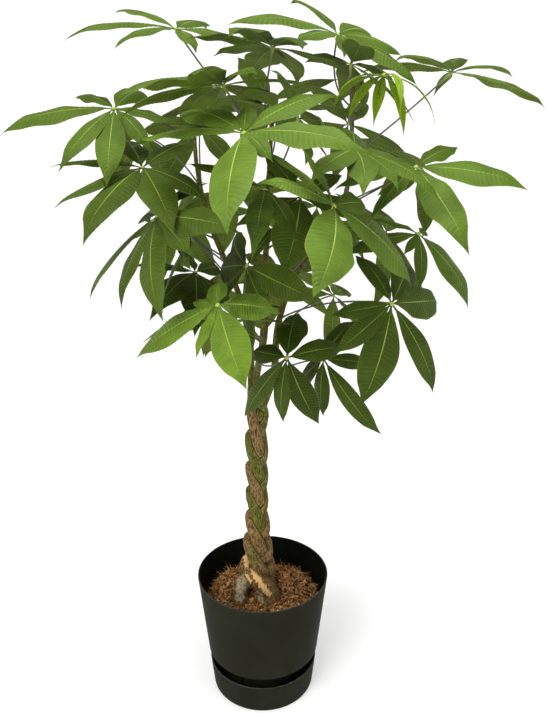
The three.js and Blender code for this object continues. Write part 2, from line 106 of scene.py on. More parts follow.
class Finish:
    """One material, with the nodes that feed its surface shader."""

    def __init__(self, name, constants):
        self.material = bpy.data.materials.new(name)
        self.material.use_nodes = True
        self.tree = self.material.node_tree
        self.surface = self.tree.nodes["Principled BSDF"]
        for socket, value in constants.items():
            self.surface.inputs[socket].default_value = value

    def add(self, kind, settings, sockets, output=0):
        node = self.tree.nodes.new(kind)
        for name, value in settings.items():
            if name == "stops":
                ramp = node.color_ramp.elements
                while len(ramp) < len(value):
                    ramp.new(0.5)
                for stop, (place, colour) in zip(ramp, value):
                    stop.position = place
                    stop.color = colour
            else:
                setattr(node, name, value)
        for name, value in sockets.items():
            if isinstance(value, Wire):
                self.tree.links.new(value.socket, node.inputs[name])
            else:
                node.inputs[name].default_value = value
        return Wire(self, node.outputs[output])

    def place(self):
        return self.add("ShaderNodeTexCoord", {}, {}, "Object")

    def stretched(self, across, along):
        """The place in the object, scaled across and along the vertical."""
        scale = (across, across, along)
        return self.add("ShaderNodeVectorMath", {"operation": "MULTIPLY"}, {0: self.place(), 1: scale})

    def tint(self, name):
        """The value of that name that the piece carries at its points."""
        return self.add("ShaderNodeAttribute", {"attribute_name": name}, {}, "Fac")

    def cloud(self, scale, detail=3.0, roughness=0.55, place=None):
        values = {"Scale": scale, "Detail": detail, "Roughness": roughness}
        values["Vector"] = self.place() if place is None else place
        return self.add("ShaderNodeTexNoise", {}, values)

    def blend(self, share, first, second):
        """The first colour where share is 0, the second where it is 1."""
        return self.add("ShaderNodeMix", {"data_type": "RGBA"}, {0: share, 6: first, 7: second}, 2)

    def set(self, socket, wire):
        self.tree.links.new(wire.socket, self.surface.inputs[socket])

    def relief(self, height, depth):
        """Raises the surface by the height wire, whose full range is depth metres."""
        values = {"Height": height, "Distance": depth, "Strength": 1.0}
        self.set("Normal", self.add("ShaderNodeBump", {}, values))


def shaded(colour, share, veil=0.0):
    """The colour dimmed or lifted to a share of itself, under a grey veil."""
    return (*(share * part + veil for part in colour[:3]), 1)


def moulded_plastic(name, colour, rim):
    """Satin polypropylene: a fine grain, faint flow clouds, dust, and a painted highlight at its rim."""
    finish = Finish(name, {"Specular IOR Level": 0.03})
    flow = finish.cloud(9.0, 2.0)
    dust = finish.cloud(38.0, 6.0, 0.7).between(0.56, 0.78)
    body = finish.blend(flow.between(0.35, 0.65), colour, shaded(colour, 1.3))
    body = finish.blend(dust * 0.30, body, shaded(colour, 2.0, 0.006))
    height = finish.add("ShaderNodeSeparateXYZ", {}, {0: finish.place()}, "Z")
    # Painted highlight: a patchy paler band just below the rim, standing in for light caught on its edge.
    edge = height.between(rim - RIM_HIGHLIGHT_FROM, rim - RIM_HIGHLIGHT_TO) * finish.cloud(120.0).between(0.2, 0.6)
    finish.set("Base Color", finish.blend(edge * 0.8, body, RIM_HIGHLIGHT))
    finish.set("Roughness", 0.54 + flow * 0.10 + dust * 0.14)
    finish.relief(finish.cloud(1500.0, 2.0) * 0.7 + finish.cloud(60.0, 2.0) * 0.3, PLASTIC_GRAIN)
    return finish.material


def bent(start, corner, end, share):
    """A point on the curve that heads from the start for the corner and turns to the end."""
    return start.lerp(corner, share).lerp(corner.lerp(end, share), share)


def softened(corners):
    """A profile of (radius, height) whose corners are rounded by the given softness."""
    profile = []
    for i, (radius, height, softness) in enumerate(corners):
        corner = Vector((radius, height))
        if softness == 0:
            profile.append(corner)
            continue
        arrive = corner + (Vector(corners[i - 1][:2]) - corner).normalized() * softness
        leave = corner + (Vector(corners[i + 1][:2]) - corner).normalized() * softness
        for j in range(CORNER_STEPS + 1):
            profile.append(bent(arrive, corner, leave, j / CORNER_STEPS))
    return profile


def placed(name, data):
    """An object of the data, put into the scene."""
    thing = bpy.data.objects.new(name, data)
    bpy.context.scene.collection.objects.link(thing)
    return thing


def turned(name, profile):
    """A closed mesh: a profile that starts and ends on the axis, turned about it."""
    points = []
    faces = []
    rows = []
    for radius, height in profile:
        if radius == 0:
            rows.append([len(points)] * TURN_STEPS)
            points.append((0, 0, height))
            continue
        rows.append(list(range(len(points), len(points) + TURN_STEPS)))
        for i in range(TURN_STEPS):
            angle = 2 * math.pi * i / TURN_STEPS
            points.append((radius * math.cos(angle), radius * math.sin(angle), height))
    for lower, upper in zip(rows, rows[1:]):
        for i in range(TURN_STEPS):
            j = (i + 1) % TURN_STEPS
            faces.append(list(dict.fromkeys((lower[i], lower[j], upper[j], upper[i]))))
    mesh = bpy.data.meshes.new(name)
    mesh.from_pydata(points, [], faces)
    mesh.shade_smooth()
    return placed(name, mesh)


def settle(piece, slot, *nodes):
    """The piece rides with the plant and stands for its nodes. The slot is not used."""
    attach(piece, "root")
    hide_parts(*nodes)


_, saucer_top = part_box("saucer")
saucer = turned("saucer_bowl", softened([
    (0, 0, 0),
    (SAUCER_BASE_RADIUS, 0, SAUCER_BASE_CORNER),
    (saucer_top.x, saucer_top.z, RIM_CORNER),
    (saucer_top.x - SAUCER_LIP, saucer_top.z, RIM_CORNER),
    (SAUCER_BASE_RADIUS - WALL, WALL, SAUCER_BASE_CORNER),
    (0, WALL, 0),
]))
saucer.data.materials.append(moulded_plastic("saucer_plastic", SAUCER_BLACK, saucer_top.z))
settle(saucer, "saucer_plastic", "saucer")


# The pot is one moulding of the same plastic: a tapered body with a plain lip, and a narrower
# neck below it, which stands in the saucer and lets the water in through six round holes. Its
# inner wall below the rim is painted darker than the rest: painted shade inside the pot.
POT_SHOULDER_RADIUS = 102.7 * MM
POT_SHOULDER_HEIGHT = 77 * MM
POT_SHOULDER_CORNER = 2.2 * MM
POT_CORNER = 2 * MM
POT_LIP = 0.75 * WALL
NECK_TOP_RADIUS = 78 * MM
NECK_BASE_RADIUS = 76 * MM
WATER_HOLE_RADIUS = 4.5 * MM
WATER_HOLE_HEIGHT = 16 * MM
WATER_HOLES = 6
WATER_HOLE_SIDES = 24
POT_BLACK = (0.0122, 0.0126, 0.0070, 1)
# Painted shade for the pot's inner wall, and the band below the rim that keeps the plain colour.
PAINTED_SHADE_BLACK = (0.0040, 0.0042, 0.0025, 1)
UNSHADED_RIM = 2 * MM

pot_floor, pot_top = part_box("pot")
pot = turned("pot_body", softened([
    (0, pot_floor.z, 0),
    (NECK_BASE_RADIUS, pot_floor.z, POT_CORNER),
    (NECK_TOP_RADIUS, POT_SHOULDER_HEIGHT, POT_CORNER),
    (POT_SHOULDER_RADIUS, POT_SHOULDER_HEIGHT, POT_SHOULDER_CORNER),
    (pot_top.x, pot_top.z, RIM_CORNER),
    (pot_top.x - POT_LIP, pot_top.z, RIM_CORNER),
    (POT_SHOULDER_RADIUS - WALL, POT_SHOULDER_HEIGHT + WALL, POT_CORNER),
    (NECK_TOP_RADIUS - WALL, POT_SHOULDER_HEIGHT + WALL, POT_CORNER),
    (NECK_BASE_RADIUS - WALL, pot_floor.z + WALL, POT_CORNER),
    (0, pot_floor.z + WALL, 0),
]))

drills = bmesh.new()
reach = Matrix.Translation((0, NECK_BASE_RADIUS - WALL / 2, WATER_HOLE_HEIGHT))
lie = Matrix.Rotation(math.pi / 2, 4, "X")
for i in range(WATER_HOLES):
    turn = Matrix.Rotation(2 * math.pi * (i + 0.5) / WATER_HOLES, 4, "Z")
    bmesh.ops.create_cone(
        drills, cap_ends=True, segments=WATER_HOLE_SIDES, radius1=WATER_HOLE_RADIUS,
        radius2=WATER_HOLE_RADIUS, depth=5 * WALL, matrix=turn @ reach @ lie,
    )
drill_mesh = bpy.data.meshes.new("water_hole_drills")
drills.to_mesh(drill_mesh)
drills.free()
drill = placed("water_hole_drills", drill_mesh)
cut = pot.modifiers.new("water_holes", "BOOLEAN")
cut.object = drill
cut.solver = "EXACT"
bpy.context.view_layer.update()
pot.data = bpy.data.meshes.new_from_object(pot.evaluated_get(bpy.context.evaluated_depsgraph_get()))
pot.modifiers.clear()
bpy.data.objects.remove(drill)
pot.data.materials.clear()
pot.data.materials.append(moulded_plastic("pot_plastic", POT_BLACK, pot_top.z))
# The second finish is painted shade, put on the inner wall below the rim.
pot.data.materials.append(moulded_plastic("pot_plastic_painted_shade", PAINTED_SHADE_BLACK, pot_top.z))
for face in pot.data.polygons:
    facing = face.normal.x * face.center.x + face.normal.y * face.center.y
    if facing < 0 and face.center.z < pot_top.z - UNSHADED_RIM:
        face.material_index = 1
settle(pot, "pot_plastic", "pot")


# The soil is a bed of moist coir, poured into the pot round the stems and never pressed flat. It
# fills body and neck, with heaps behind the trunk, a pit on its left, and a fall at the wall.
SOIL_HEIGHT = 180 * MM
SOIL_RINGS = 70
SOIL_SPOKES = 200
SOIL_BUMPS = (
    (-60 * MM, 40 * MM, 18 * MM, 40 * MM),
    (46 * MM, 32 * MM, 23 * MM, 44 * MM),
    (-42 * MM, -16 * MM, -16 * MM, 24 * MM),
)
SOIL_ROUGHNESS = 8.5 * MM
SOIL_EDGE_START = 0.74
SOIL_EDGE_WIDTH = 0.24
SOIL_EDGE_FALL = 20 * MM
SOIL_EDGE_DEPTH = 8 * MM
SOIL_GAP = 0.9 * MM
WALL_CLEARANCE = 0.5 * MM
COIR_GRAIN = 0.9 * MM


def clamp(value):
    return min(1.0, max(0.0, value))


def pot_inside(height):
    """The inner radius of the pot's body at a height."""
    rise = (height - POT_SHOULDER_HEIGHT) / (pot_top.z - POT_SHOULDER_HEIGHT)
    return POT_SHOULDER_RADIUS + (pot_top.x - POT_SHOULDER_RADIUS) * rise - WALL


def soil_height(x, y):
    """The bed's own height: heaps and pit, a ragged fall at the wall, clods and roughness."""
    height = SOIL_HEIGHT
    for across, along, rise, radius in SOIL_BUMPS:
        height += rise * math.exp(-((x - across) ** 2 + (y - along) ** 2) / radius ** 2)
    clods = noise.noise(Vector((45 * x, 45 * y, 0.3)))
    grit = noise.noise(Vector((160 * x, 160 * y, 7.1)))
    fine = noise.noise(Vector((420 * x, 420 * y, 2.7)))
    outer = math.hypot(x, y) / pot_inside(SOIL_HEIGHT) + 0.10 * clods + 0.05 * grit
    height -= SOIL_EDGE_FALL * clamp((outer - SOIL_EDGE_START) / SOIL_EDGE_WIDTH) ** 1.5
    return height + SOIL_ROUGHNESS * (0.9 * clods + 0.6 * grit + 0.35 * fine)


def held_in(point):
    """The point, pulled in where it would reach into the pot's wall."""
    reach = math.hypot(point.x, point.y)
    limit = pot_inside(point.z) - WALL_CLEARANCE
    if reach <= limit:
        return point
    return Vector((point.x * limit / reach, point.y * limit / reach, point.z))


COIR_STOPS = (
    (0.10, (0.008, 0.0034, 0.0012, 1)),
    (0.30, (0.105, 0.0430, 0.0130, 1)),
    (0.48, (0.340, 0.1520, 0.0450, 1)),
    (0.70, (0.700, 0.3800, 0.1350, 1)),
    (1.00, (0.900, 0.7000, 0.4200, 1)),
)


def coir_finish():
    """Coir from dark wet dust to pale dry husk, picked by each crumb's tint."""
    finish = Finish("coir", {"Specular IOR Level": 0.22})
    mottle = finish.cloud(420.0, 4.0, 0.7)
    shade = finish.tint("tint") * 0.62 + mottle * 0.50 + finish.cloud(60.0, 2.0) * 0.44 - 0.28
    husk = finish.add("ShaderNodeValToRGB", {"stops": COIR_STOPS}, {"Fac": shade}, "Color")
    finish.set("Base Color", husk)
    finish.set("Roughness", 0.95 - mottle.between(0.55, 0.8) * 0.25)
    finish.relief(finish.cloud(900.0, 4.0, 0.8), COIR_GRAIN)
    return finish.material


coir = coir_finish()


def plant_piece(name, points, faces, materials, smooth=True):
    """A mesh object of the plant from points and faces in metres."""
    mesh = bpy.data.meshes.new(name)
    mesh.from_pydata(points, [], faces)
    for material in materials:
        mesh.materials.append(material)
    if smooth:
        mesh.shade_smooth()
    return placed(name, mesh)


def tint_piece(piece, name, values):
    """A value at each point of the piece, for its finish to read."""
    layer = piece.data.attributes.new(name, "FLOAT", "POINT")
    layer.data.foreach_set("value", np.asarray(values, np.float32))


bed_points = [(0, 0, soil_height(0, 0))]
bed_faces = []
edge_radius = pot_inside(SOIL_HEIGHT - SOIL_EDGE_DEPTH) - SOIL_GAP
spokes = [2 * math.pi * j / SOIL_SPOKES for j in range(SOIL_SPOKES)]
for i in range(1, SOIL_RINGS + 1):
    radius = edge_radius * i / SOIL_RINGS
    for angle in spokes:
        x = radius * math.cos(angle)
        y = radius * math.sin(angle)
        bed_points.append(held_in(Vector((x, y, soil_height(x, y)))))
ledge = POT_SHOULDER_HEIGHT + WALL + SOIL_GAP
neck_radius = NECK_BASE_RADIUS - WALL - SOIL_GAP
for radius, height in (
    (pot_inside(ledge) - SOIL_GAP, ledge),
    (neck_radius, ledge),
    (neck_radius, pot_floor.z + WALL + SOIL_GAP),
):
    for angle in spokes:
        bed_points.append((radius * math.cos(angle), radius * math.sin(angle), height))
for j in range(SOIL_SPOKES):
    bed_faces.append((0, 1 + j, 1 + (j + 1) % SOIL_SPOKES))
for i in range(SOIL_RINGS + 2):
    for j in range(SOIL_SPOKES):
        k = (j + 1) % SOIL_SPOKES
        start = 1 + i * SOIL_SPOKES
        bed_faces.append((start + j, start + SOIL_SPOKES + j, start + SOIL_SPOKES + k, start + k))
last = 1 + (SOIL_RINGS + 2) * SOIL_SPOKES
bed_faces.append([last + j for j in reversed(range(SOIL_SPOKES))])
soil = plant_piece("coir_bed", bed_points, bed_faces, [coir])
tint_piece(soil, "tint", [0.06 + 0.3 * noise.noise(Vector(p) * 90) for p in bed_points])
settle(soil, "coir_soil", "soil")


# Crumbs and chips lie on the bed and a little way into it: broken grains of coir, and flat chips
# of husk among them. Each is one dented ball of the bed's own stuff, and nothing holds it.
CRUMBS = 6800
CRUMB_SIZE = 0.8 * MM
CRUMB_SIZE_SPREAD = 2.5 * MM
CRUMB_FORM = ((0.9, 1.7), (0.6, 1.1), (0.45, 0.9))
CRUMB_DENTS = (0.7, 1.25)
CHIPS = 700
CHIP_FORM = ((1.6, 3.4), (0.5, 1.0), (0.18, 0.35))
CHIP_TONES = (0.30, 0.80)
SOIL_SEED = 4

rng = random.Random(SOIL_SEED)


def soil_spot(reach):
    """A random spot on the bed, within a share of its radius."""
    radius = edge_radius * reach * math.sqrt(rng.random())
    angle = 2 * math.pi * rng.random()
    x = radius * math.cos(angle)
    y = radius * math.sin(angle)
    return Vector((x, y, soil_height(x, y)))


ball = bmesh.new()
bmesh.ops.create_icosphere(ball, subdivisions=1, radius=1)
ball_points = [v.co.copy() for v in ball.verts]
ball_faces = [[v.index for v in f.verts] for f in ball.faces]
ball.free()

crumb_points = []
crumb_faces = []
crumb_tints = []
for place in range(CRUMBS + CHIPS):
    size = CRUMB_SIZE + CRUMB_SIZE_SPREAD * rng.random() ** 2
    form = Vector([rng.uniform(*span) for span in CRUMB_FORM])
    tone = clamp(rng.gauss(0.40, 0.30))
    if place >= CRUMBS:
        form = Vector([rng.uniform(*span) for span in CHIP_FORM])
        tone = rng.uniform(*CHIP_TONES)
    spot = soil_spot(0.985) + Vector((0, 0, 0.45 * size))
    spin = Matrix.Rotation(rng.uniform(0, math.pi), 3, Vector((rng.gauss(0, 1), rng.gauss(0, 1), 1)))
    start = len(crumb_points)
    for corner in ball_points:
        dent = rng.uniform(*CRUMB_DENTS)
        reach = spin @ Vector([size * dent * a * b for a, b in zip(corner, form)])
        crumb_points.append(held_in(spot + reach))
        crumb_tints.append(tone)
    crumb_faces += [[start + corner for corner in face] for face in ball_faces]
crumbs = plant_piece("coir_crumbs", crumb_points, crumb_faces, [coir], smooth=False)
tint_piece(crumbs, "tint", crumb_tints)
settle(crumbs, "coir_soil", "soil")


# Fibres are loose hairs of the husk, thin, bent and mostly paler than the crumbs. Most lie on
# the bed, some stand up out of it, and their thick ends go a little way into it.
FIBRES = 2900
FIBRE_LENGTH = (5 * MM, 20 * MM)
FIBRE_RADIUS = (0.18 * MM, 0.48 * MM)
FIBRE_SIDES = 3
FIBRE_STEPS = (0, 0.25, 0.5, 0.75, 1)
FIBRE_TAPER = (1, 1, 1, 0.8, 0.4)
FIBRE_ROOT = 0.15
FIBRE_CLEARANCE = 0.3 * MM
FIBRE_TONES = (0.35, 1.0)


def tube(route, radii, sides, points, faces):
    """Adds a closed tube along a route to the points and faces."""
    normal = Vector((0.31, 0.27, 0.91))
    start = len(points)
    count = len(route)
    for i, centre in enumerate(route):
        heading = (route[min(i + 1, count - 1)] - route[max(i - 1, 0)]).normalized()
        normal = (normal - heading * normal.dot(heading)).normalized()
        side = heading.cross(normal)
        for j in range(sides):
            angle = 2 * math.pi * j / sides
            points.append(centre + radii[i] * (normal * math.cos(angle) + side * math.sin(angle)))
    for i in range(count - 1):
        for j in range(sides):
            k = (j + 1) % sides
            low = start + i * sides
            faces.append((low + j, low + k, low + sides + k, low + sides + j))
    faces.append([start + j for j in reversed(range(sides))])
    faces.append([start + (count - 1) * sides + j for j in range(sides)])


fibre_points = []
fibre_faces = []
fibre_tints = []
for _ in range(FIBRES):
    spot = soil_spot(0.97)
    length = rng.uniform(*FIBRE_LENGTH)
    lift = rng.random() ** 2.4
    angle = rng.uniform(0, 2 * math.pi)
    heading = Vector((math.cos(angle), math.sin(angle), 0.15 + 1.3 * lift)).normalized()
    bend = Vector((rng.gauss(0, 1), rng.gauss(0, 1), rng.gauss(0, 0.5) - 0.4)) * 0.35
    route = []
    for step in FIBRE_STEPS:
        point = spot + length * (step - FIBRE_ROOT) * (heading + bend * step)
        if lift < 0.4 and step > 0:
            point.z = max(point.z, soil_height(point.x, point.y) + FIBRE_CLEARANCE)
        route.append(held_in(point))
    thick = rng.uniform(*FIBRE_RADIUS)
    before = len(fibre_points)
    tube(route, [thick * share for share in FIBRE_TAPER], FIBRE_SIDES, fibre_points, fibre_faces)
    fibre_tints += [rng.uniform(*FIBRE_TONES)] * (len(fibre_points) - before)
fibres = plant_piece("coir_fibres", fibre_points, fibre_faces, [coir])
tint_piece(fibres, "tint", fibre_tints)
settle(fibres, "coir_soil", "soil")


# The trunk is three young stems, plaited while green and grown together. They stand in the
# soil, press on each other in the plait, part above it, and carry the leaf stalks.
PLAIT_TOP = 545 * MM
PLAIT_PITCH = 145 * MM
PLAIT_PLACE = Vector((-10 * MM, 0, 0))
PLAIT_HALF_WIDTH = 12.4 * MM
PLAIT_LAG = 21.5 * MM
PLAIT_LAG_REACH = 65 * MM
PLAIT_TOP_TURN = 0.125
PLAIT_BASE = 250 * MM
PLAIT_BASE_REACH = 65 * MM
PLANTING_DEPTH = 60 * MM
STRAND_RADIUS = 8 * MM
GROWN_RADIUS = 9.6 * MM
GROWN_TOP = PLAIT_TOP + 55 * MM
GROWN_TOP_REACH = 70 * MM
TRUNK_FOOT_HEIGHT = 195 * MM
TRUNK_FOOT_SPREAD = 1.35
TRUNK_FOOT_SWELL = 3.9 * MM
TRUNK_FOOT_ROOM = 0.9
ROOT_FLARE_HEIGHT = 75 * MM
TIP_RADIUS = 3 * MM
TIP_CLOSING = 0.35
SHOOT_SLIMNESS = 0.8
ROUTE_STEP = 7 * MM
BARK_STEP = 3 * MM
BARK_SIDES = 28
TRUNK_RADIUS = 19 * MM
FLATTENING = 0.6
FLAT_TOP = PLAIT_TOP + 30 * MM
FLAT_TOP_REACH = 50 * MM
FLAT_BASE = 225 * MM
FLAT_BASE_REACH = 60 * MM
CREASE = 4 * MM
BARK_KNOTS = 0.045
BARK_RINGS = 0.015
BARK_ROUGHNESS = 0.42 * MM
BARK_GRAIN = 2.2 * MM
# A strand's way round the trunk in one turn of the plait, as a share of the turn, across and
# deep: over the front from the left edge, down past the middle, round the right edge, and back.
PLAIT_WAY = (
    (0.00, -1.02, -0.25), (0.10, -0.65, -0.85), (0.25, -0.05, -1.08), (0.40, 0.38, -0.76),
    (0.50, 0.40, -0.18), (0.58, 0.45, 0.45), (0.67, 0.82, 0.65), (0.75, 1.16, 0.25),
    (0.83, 1.10, -0.35), (0.90, 0.50, -0.35), (0.955, -0.58, 0.15),
)
FEET = {"left": (12, -17), "middle": (-41, -6), "right": (8, 9)}
ROOT_FLARE = {"left": 11 * MM, "middle": 3 * MM, "right": 5 * MM}
CROWN_POINTS = {
    "left": (
        (-18, 10, 612), (-22, 14, 700), (-50, 12, 790), (-82, 0, 875), (-97, -8, 955), (-100, -12, 1030),
    ),
    "middle": ((-8, -22, 615), (6, -12, 696), (8, -4, 820), (13, -10, 945), (20, -28, 1040)),
    "right": (
        (20, 16, 612), (27, 20, 695), (52, 18, 775), (98, 8, 850), (133, 2, 915), (140, -4, 1075),
    ),
}
SHOOT_POINTS = {
    "front": ((-6, -20, 624), (2, -60, 700), (8, -100, 790), (14, -118, 880)),
    "back": ((6, -10, 690), (2, 44, 760), (8, 92, 855), (12, 112, 960)),
}


def foot_share(height):
    """How much of the trunk's flare there is at a height."""
    return clamp(1 - (height - SOIL_HEIGHT) / TRUNK_FOOT_HEIGHT) ** 1.3


def swept(start, end, leave, arrive, share):
    """A point on the curve that leaves the start and arrives at the end in those directions."""
    bend = 2 * share ** 3 - 3 * share ** 2
    ease = leave * (share ** 3 - 2 * share ** 2 + share) + arrive * (share ** 3 - share ** 2)
    return start * (bend + 1) - end * bend + ease


def plait_way(turn):
    """Across and deep on the strand's way after a share of a turn, on a smooth closed curve."""
    turn %= 1
    count = len(PLAIT_WAY)
    last = max(i for i in range(count) if PLAIT_WAY[i][0] <= turn)
    stops = []
    for i in range(last - 1, last + 3):
        laps, place = divmod(i, count)
        share, across, deep = PLAIT_WAY[place]
        stops.append((share + laps, Vector((across, deep, 0))))
    (before, a), (start, b), (end, c), (after, d) = stops
    leave = (c - a) * ((end - start) / (end - before))
    arrive = (d - b) * ((end - start) / (after - start))
    return swept(b, c, leave, arrive, (turn - start) / (end - start))


def plait_point(strand, foot, height):
    """A grown strand's centre at a height inside the plait."""
    lag = PLAIT_LAG * clamp((PLAIT_TOP - height) / PLAIT_LAG_REACH)
    turn = PLAIT_TOP_TURN - strand / len(FEET) - (height + lag - PLAIT_TOP) / PLAIT_PITCH
    way = plait_way(turn) * (PLAIT_HALF_WIDTH * (1 + TRUNK_FOOT_SPREAD * foot_share(height)))
    share = clamp((PLAIT_BASE - height) / PLAIT_BASE_REACH)
    stand = Vector((*foot, 0)) * MM
    return (way + PLAIT_PLACE).lerp(stand, share * share * (3 - 2 * share)) + Vector((0, 0, height))


def smooth_route(places, step):
    """Points about a step apart on a centripetal Catmull-Rom curve through the places."""
    ends = [2 * places[0] - places[1], *places, 2 * places[-1] - places[-2]]
    route = []
    for before, start, end, after in zip(ends, ends[1:], ends[2:], ends[3:]):
        first = (start - before).length ** 0.5
        middle = (end - start).length ** 0.5
        final = (after - end).length ** 0.5
        leave = (start - before) / first - (end - before) / (first + middle) + (end - start) / middle
        arrive = (end - start) / middle - (after - start) / (middle + final) + (after - end) / final
        leave *= middle
        arrive *= middle
        count = max(1, round((end - start).length / step))
        for i in range(count):
            route.append(swept(start, end, leave, arrive, i / count))
    return [*route, places[-1]]


def stem_places(strand, foot, crown):
    """Places along a main stem, from its foot in the soil up through its crown."""
    places = [Vector((*foot, 0)) * MM + Vector((0, 0, SOIL_HEIGHT - PLANTING_DEPTH))]
    count = round((PLAIT_TOP - SOIL_HEIGHT) / ROUTE_STEP)
    for i in range(count + 1):
        height = SOIL_HEIGHT + (PLAIT_TOP - SOIL_HEIGHT) * i / count
        places.append(plait_point(strand, foot, height))
    return places + [Vector(point) * MM for point in crown]


stem_routes = {}
for strand, (stem_name, crown) in enumerate(CROWN_POINTS.items()):
    stem_routes[stem_name] = smooth_route(stem_places(strand, FEET[stem_name], crown), BARK_STEP)
for shoot_name, shoot in SHOOT_POINTS.items():
    stem_routes[shoot_name] = smooth_route([Vector(point) * MM for point in shoot], BARK_STEP)


def bark_radius(stem, height):
    """The stem's radius: swollen in the plait and more at the foot, tapering in the crown."""
    slimness = SHOOT_SLIMNESS if stem in SHOOT_POINTS else 1.0
    rise = clamp((height - PLAIT_TOP) / (stem_routes[stem][-1].z - PLAIT_TOP))
    radius = STRAND_RADIUS + (TIP_RADIUS - STRAND_RADIUS) * math.sqrt(rise)
    if stem in CROWN_POINTS:
        radius += (GROWN_RADIUS - STRAND_RADIUS) * clamp((GROWN_TOP - height) / GROWN_TOP_REACH)
        radius += TRUNK_FOOT_SWELL * foot_share(height)
        radius += ROOT_FLARE[stem] * clamp(1 - (height - SOIL_HEIGHT) / ROOT_FLARE_HEIGHT) ** 1.6
    return slimness * radius


def flattened(point):
    """Pulls what stands proud of the trunk's round back towards it."""
    reach = Vector((point.x, point.y, 0)) - PLAIT_PLACE
    spare = reach.length - TRUNK_RADIUS * (1 + TRUNK_FOOT_ROOM * foot_share(point.z))
    held = clamp((FLAT_TOP - point.z) / FLAT_TOP_REACH) * clamp((point.z - FLAT_BASE) / FLAT_BASE_REACH)
    return point - reach.normalized() * (max(0.0, spare) * FLATTENING * held)


def crease_shares(points, stem):
    """1 where the bark touches another strand, 0 from a crease's width away."""
    own = np.array([tuple(point) for point in points])
    nearest = np.full(len(own), CREASE)
    for other in CROWN_POINTS:
        if other == stem:
            continue
        route = np.array([tuple(point) for point in stem_routes[other]])
        radii = np.array([bark_radius(other, height) for height in route[:, 2]])
        for centre, radius in zip(route, radii):
            nearest = np.minimum(nearest, np.linalg.norm(own - centre, axis=1) - radius)
    return np.clip(1 - nearest / CREASE, 0, 1)


# Heights in millimetres with how green the bark is there, from brown 0 to green 1.
BARK_GREEN = {
    "left": (
        (170, 0.0), (260, 0.05), (310, 0.1), (335, 0.85), (400, 0.9), (455, 0.8), (475, 0.15),
        (545, 0.15), (590, 0.9),
    ),
    "middle": ((170, 0.0), (260, 0.1), (350, 0.15), (380, 0.55), (425, 0.9), (560, 1.0), (640, 1.0)),
    "right": ((170, 0.1), (240, 0.4), (300, 0.4), (340, 0.3), (450, 0.3), (480, 0.8), (620, 0.9)),
}
SHOOT_GREEN = ((0, 1.0),)


# The bark's colours. The first four are pairs, from dark to pale.
BROWN_BARK = (0.020, 0.011, 0.0035, 1), (0.290, 0.170, 0.062, 1)
YOUNG_BARK = (0.014, 0.018, 0.002, 1), (0.150, 0.150, 0.017, 1)
LICHEN_GREY = (0.200, 0.155, 0.080, 1), (0.500, 0.430, 0.270, 1)
BARE_WOOD = (0.60, 0.34, 0.105, 1), (0.90, 0.62, 0.27, 1)
SCAR_TAN = (0.34, 0.28, 0.13, 1)
SPECK_TAN = (0.36, 0.28, 0.13, 1)
# Painted light for the creases between strands: a pale highlight for the strands' edges beside them, and a
# dark shade in them.
RIDGE_HIGHLIGHT = (0.36, 0.27, 0.11, 1)
CREASE_SHADE = (0.010, 0.007, 0.003, 1)


def bark_finish():
    """Corky brown bark with green young bark, leaf scars, pale specks, peeled patches, lichen, painted
    shade in the creases between strands, and a painted highlight beside them.
    """
    finish = Finish("bark", {"Specular IOR Level": 0.14})
    green = finish.tint("green")
    crease = finish.tint("crease")
    streaks = finish.cloud(1.0, 4.0, 0.65, finish.stretched(420.0, 120.0))
    patches = finish.cloud(75.0, 4.0, 0.6)
    cork = finish.cloud(520.0, 4.0, 0.7)
    brown = finish.blend(streaks.between(0.3, 0.7), *BROWN_BARK)
    young = finish.blend(streaks.between(0.3, 0.7), *YOUNG_BARK)
    tone = finish.blend((green + (patches - 0.5) * 1.7).between(0.35, 0.65), brown, young)
    bands = (finish.tint("along") * 330.0 + finish.cloud(34.0, 2.0) * 16.0).through("SINE")
    scars = bands.between(0.90, 0.99) * patches.between(0.42, 0.6)
    tone = finish.blend(scars * 0.32, tone, SCAR_TAN)
    specks = finish.cloud(300.0, 2.0).between(0.66, 0.73) * (1.0 - green * 0.4)
    tone = finish.blend(specks * 0.6, tone, SPECK_TAN)
    grey = finish.blend(finish.cloud(210.0, 4.0, 0.7).between(0.38, 0.60), *LICHEN_GREY)
    crust = (finish.tint("lichen") + (patches - 0.5) * 1.9).between(0.42, 0.66)
    tone = finish.blend(crust * 0.9, tone, grey)
    # Painted highlight: a pale band along each strand's edge beside a crease, broken up by patches.
    ridge = crease.between(0.22, 0.45) * (1.0 - crease.between(0.50, 0.68)) * patches.between(0.35, 0.6)
    tone = finish.blend(ridge * 0.45, tone, RIDGE_HIGHLIGHT)
    # Painted shade: the bark darkens where it presses on another strand, in the crease between them.
    tone = finish.blend(crease.between(0.58, 0.96) * 0.9, tone, CREASE_SHADE)
    ragged = (finish.cloud(230.0, 6.0, 0.8) - 0.5) * 2.3 + (streaks - 0.5) * 1.6
    bared = (finish.tint("peel") + ragged).between(0.50, 0.58)
    finish.set("Base Color", finish.blend(bared, tone, finish.blend(streaks, *BARE_WOOD)))
    finish.set("Roughness", 0.80 - green * 0.22 + specks * 0.1)
    finish.relief(streaks * 0.5 + cork * 0.35 + specks * 0.3 + scars * 0.3 - bared * 0.5, BARK_GRAIN)
    return finish.material


bark = bark_finish()

# Where the trunk's front has peeled and where lichen grows: streaks from a place to a place as
# millimetres across and up, and their width.
PEELED_STREAKS = (((-33, 276), (-29, 258), 6), ((-29, 243), (-22, 234), 4), ((-17, 249), (13, 208), 6))
LICHEN_STREAKS = (((-39, 232), (-43, 192), 13), ((-8, 206), (-4, 192), 8))


def nearness(point, streaks):
    """1 on a streak of the trunk's front, fading to 0 beyond its width."""
    best = 0.0
    if point.y < PLAIT_PLACE.y:
        for start, end, width in streaks:
            off = Vector((point.x, point.z)) / MM - Vector(start)
            way = Vector(end) - Vector(start)
            off -= way * clamp(off.dot(way) / way.length_squared)
            best = max(best, math.exp(-off.length_squared / width ** 2))
    return best


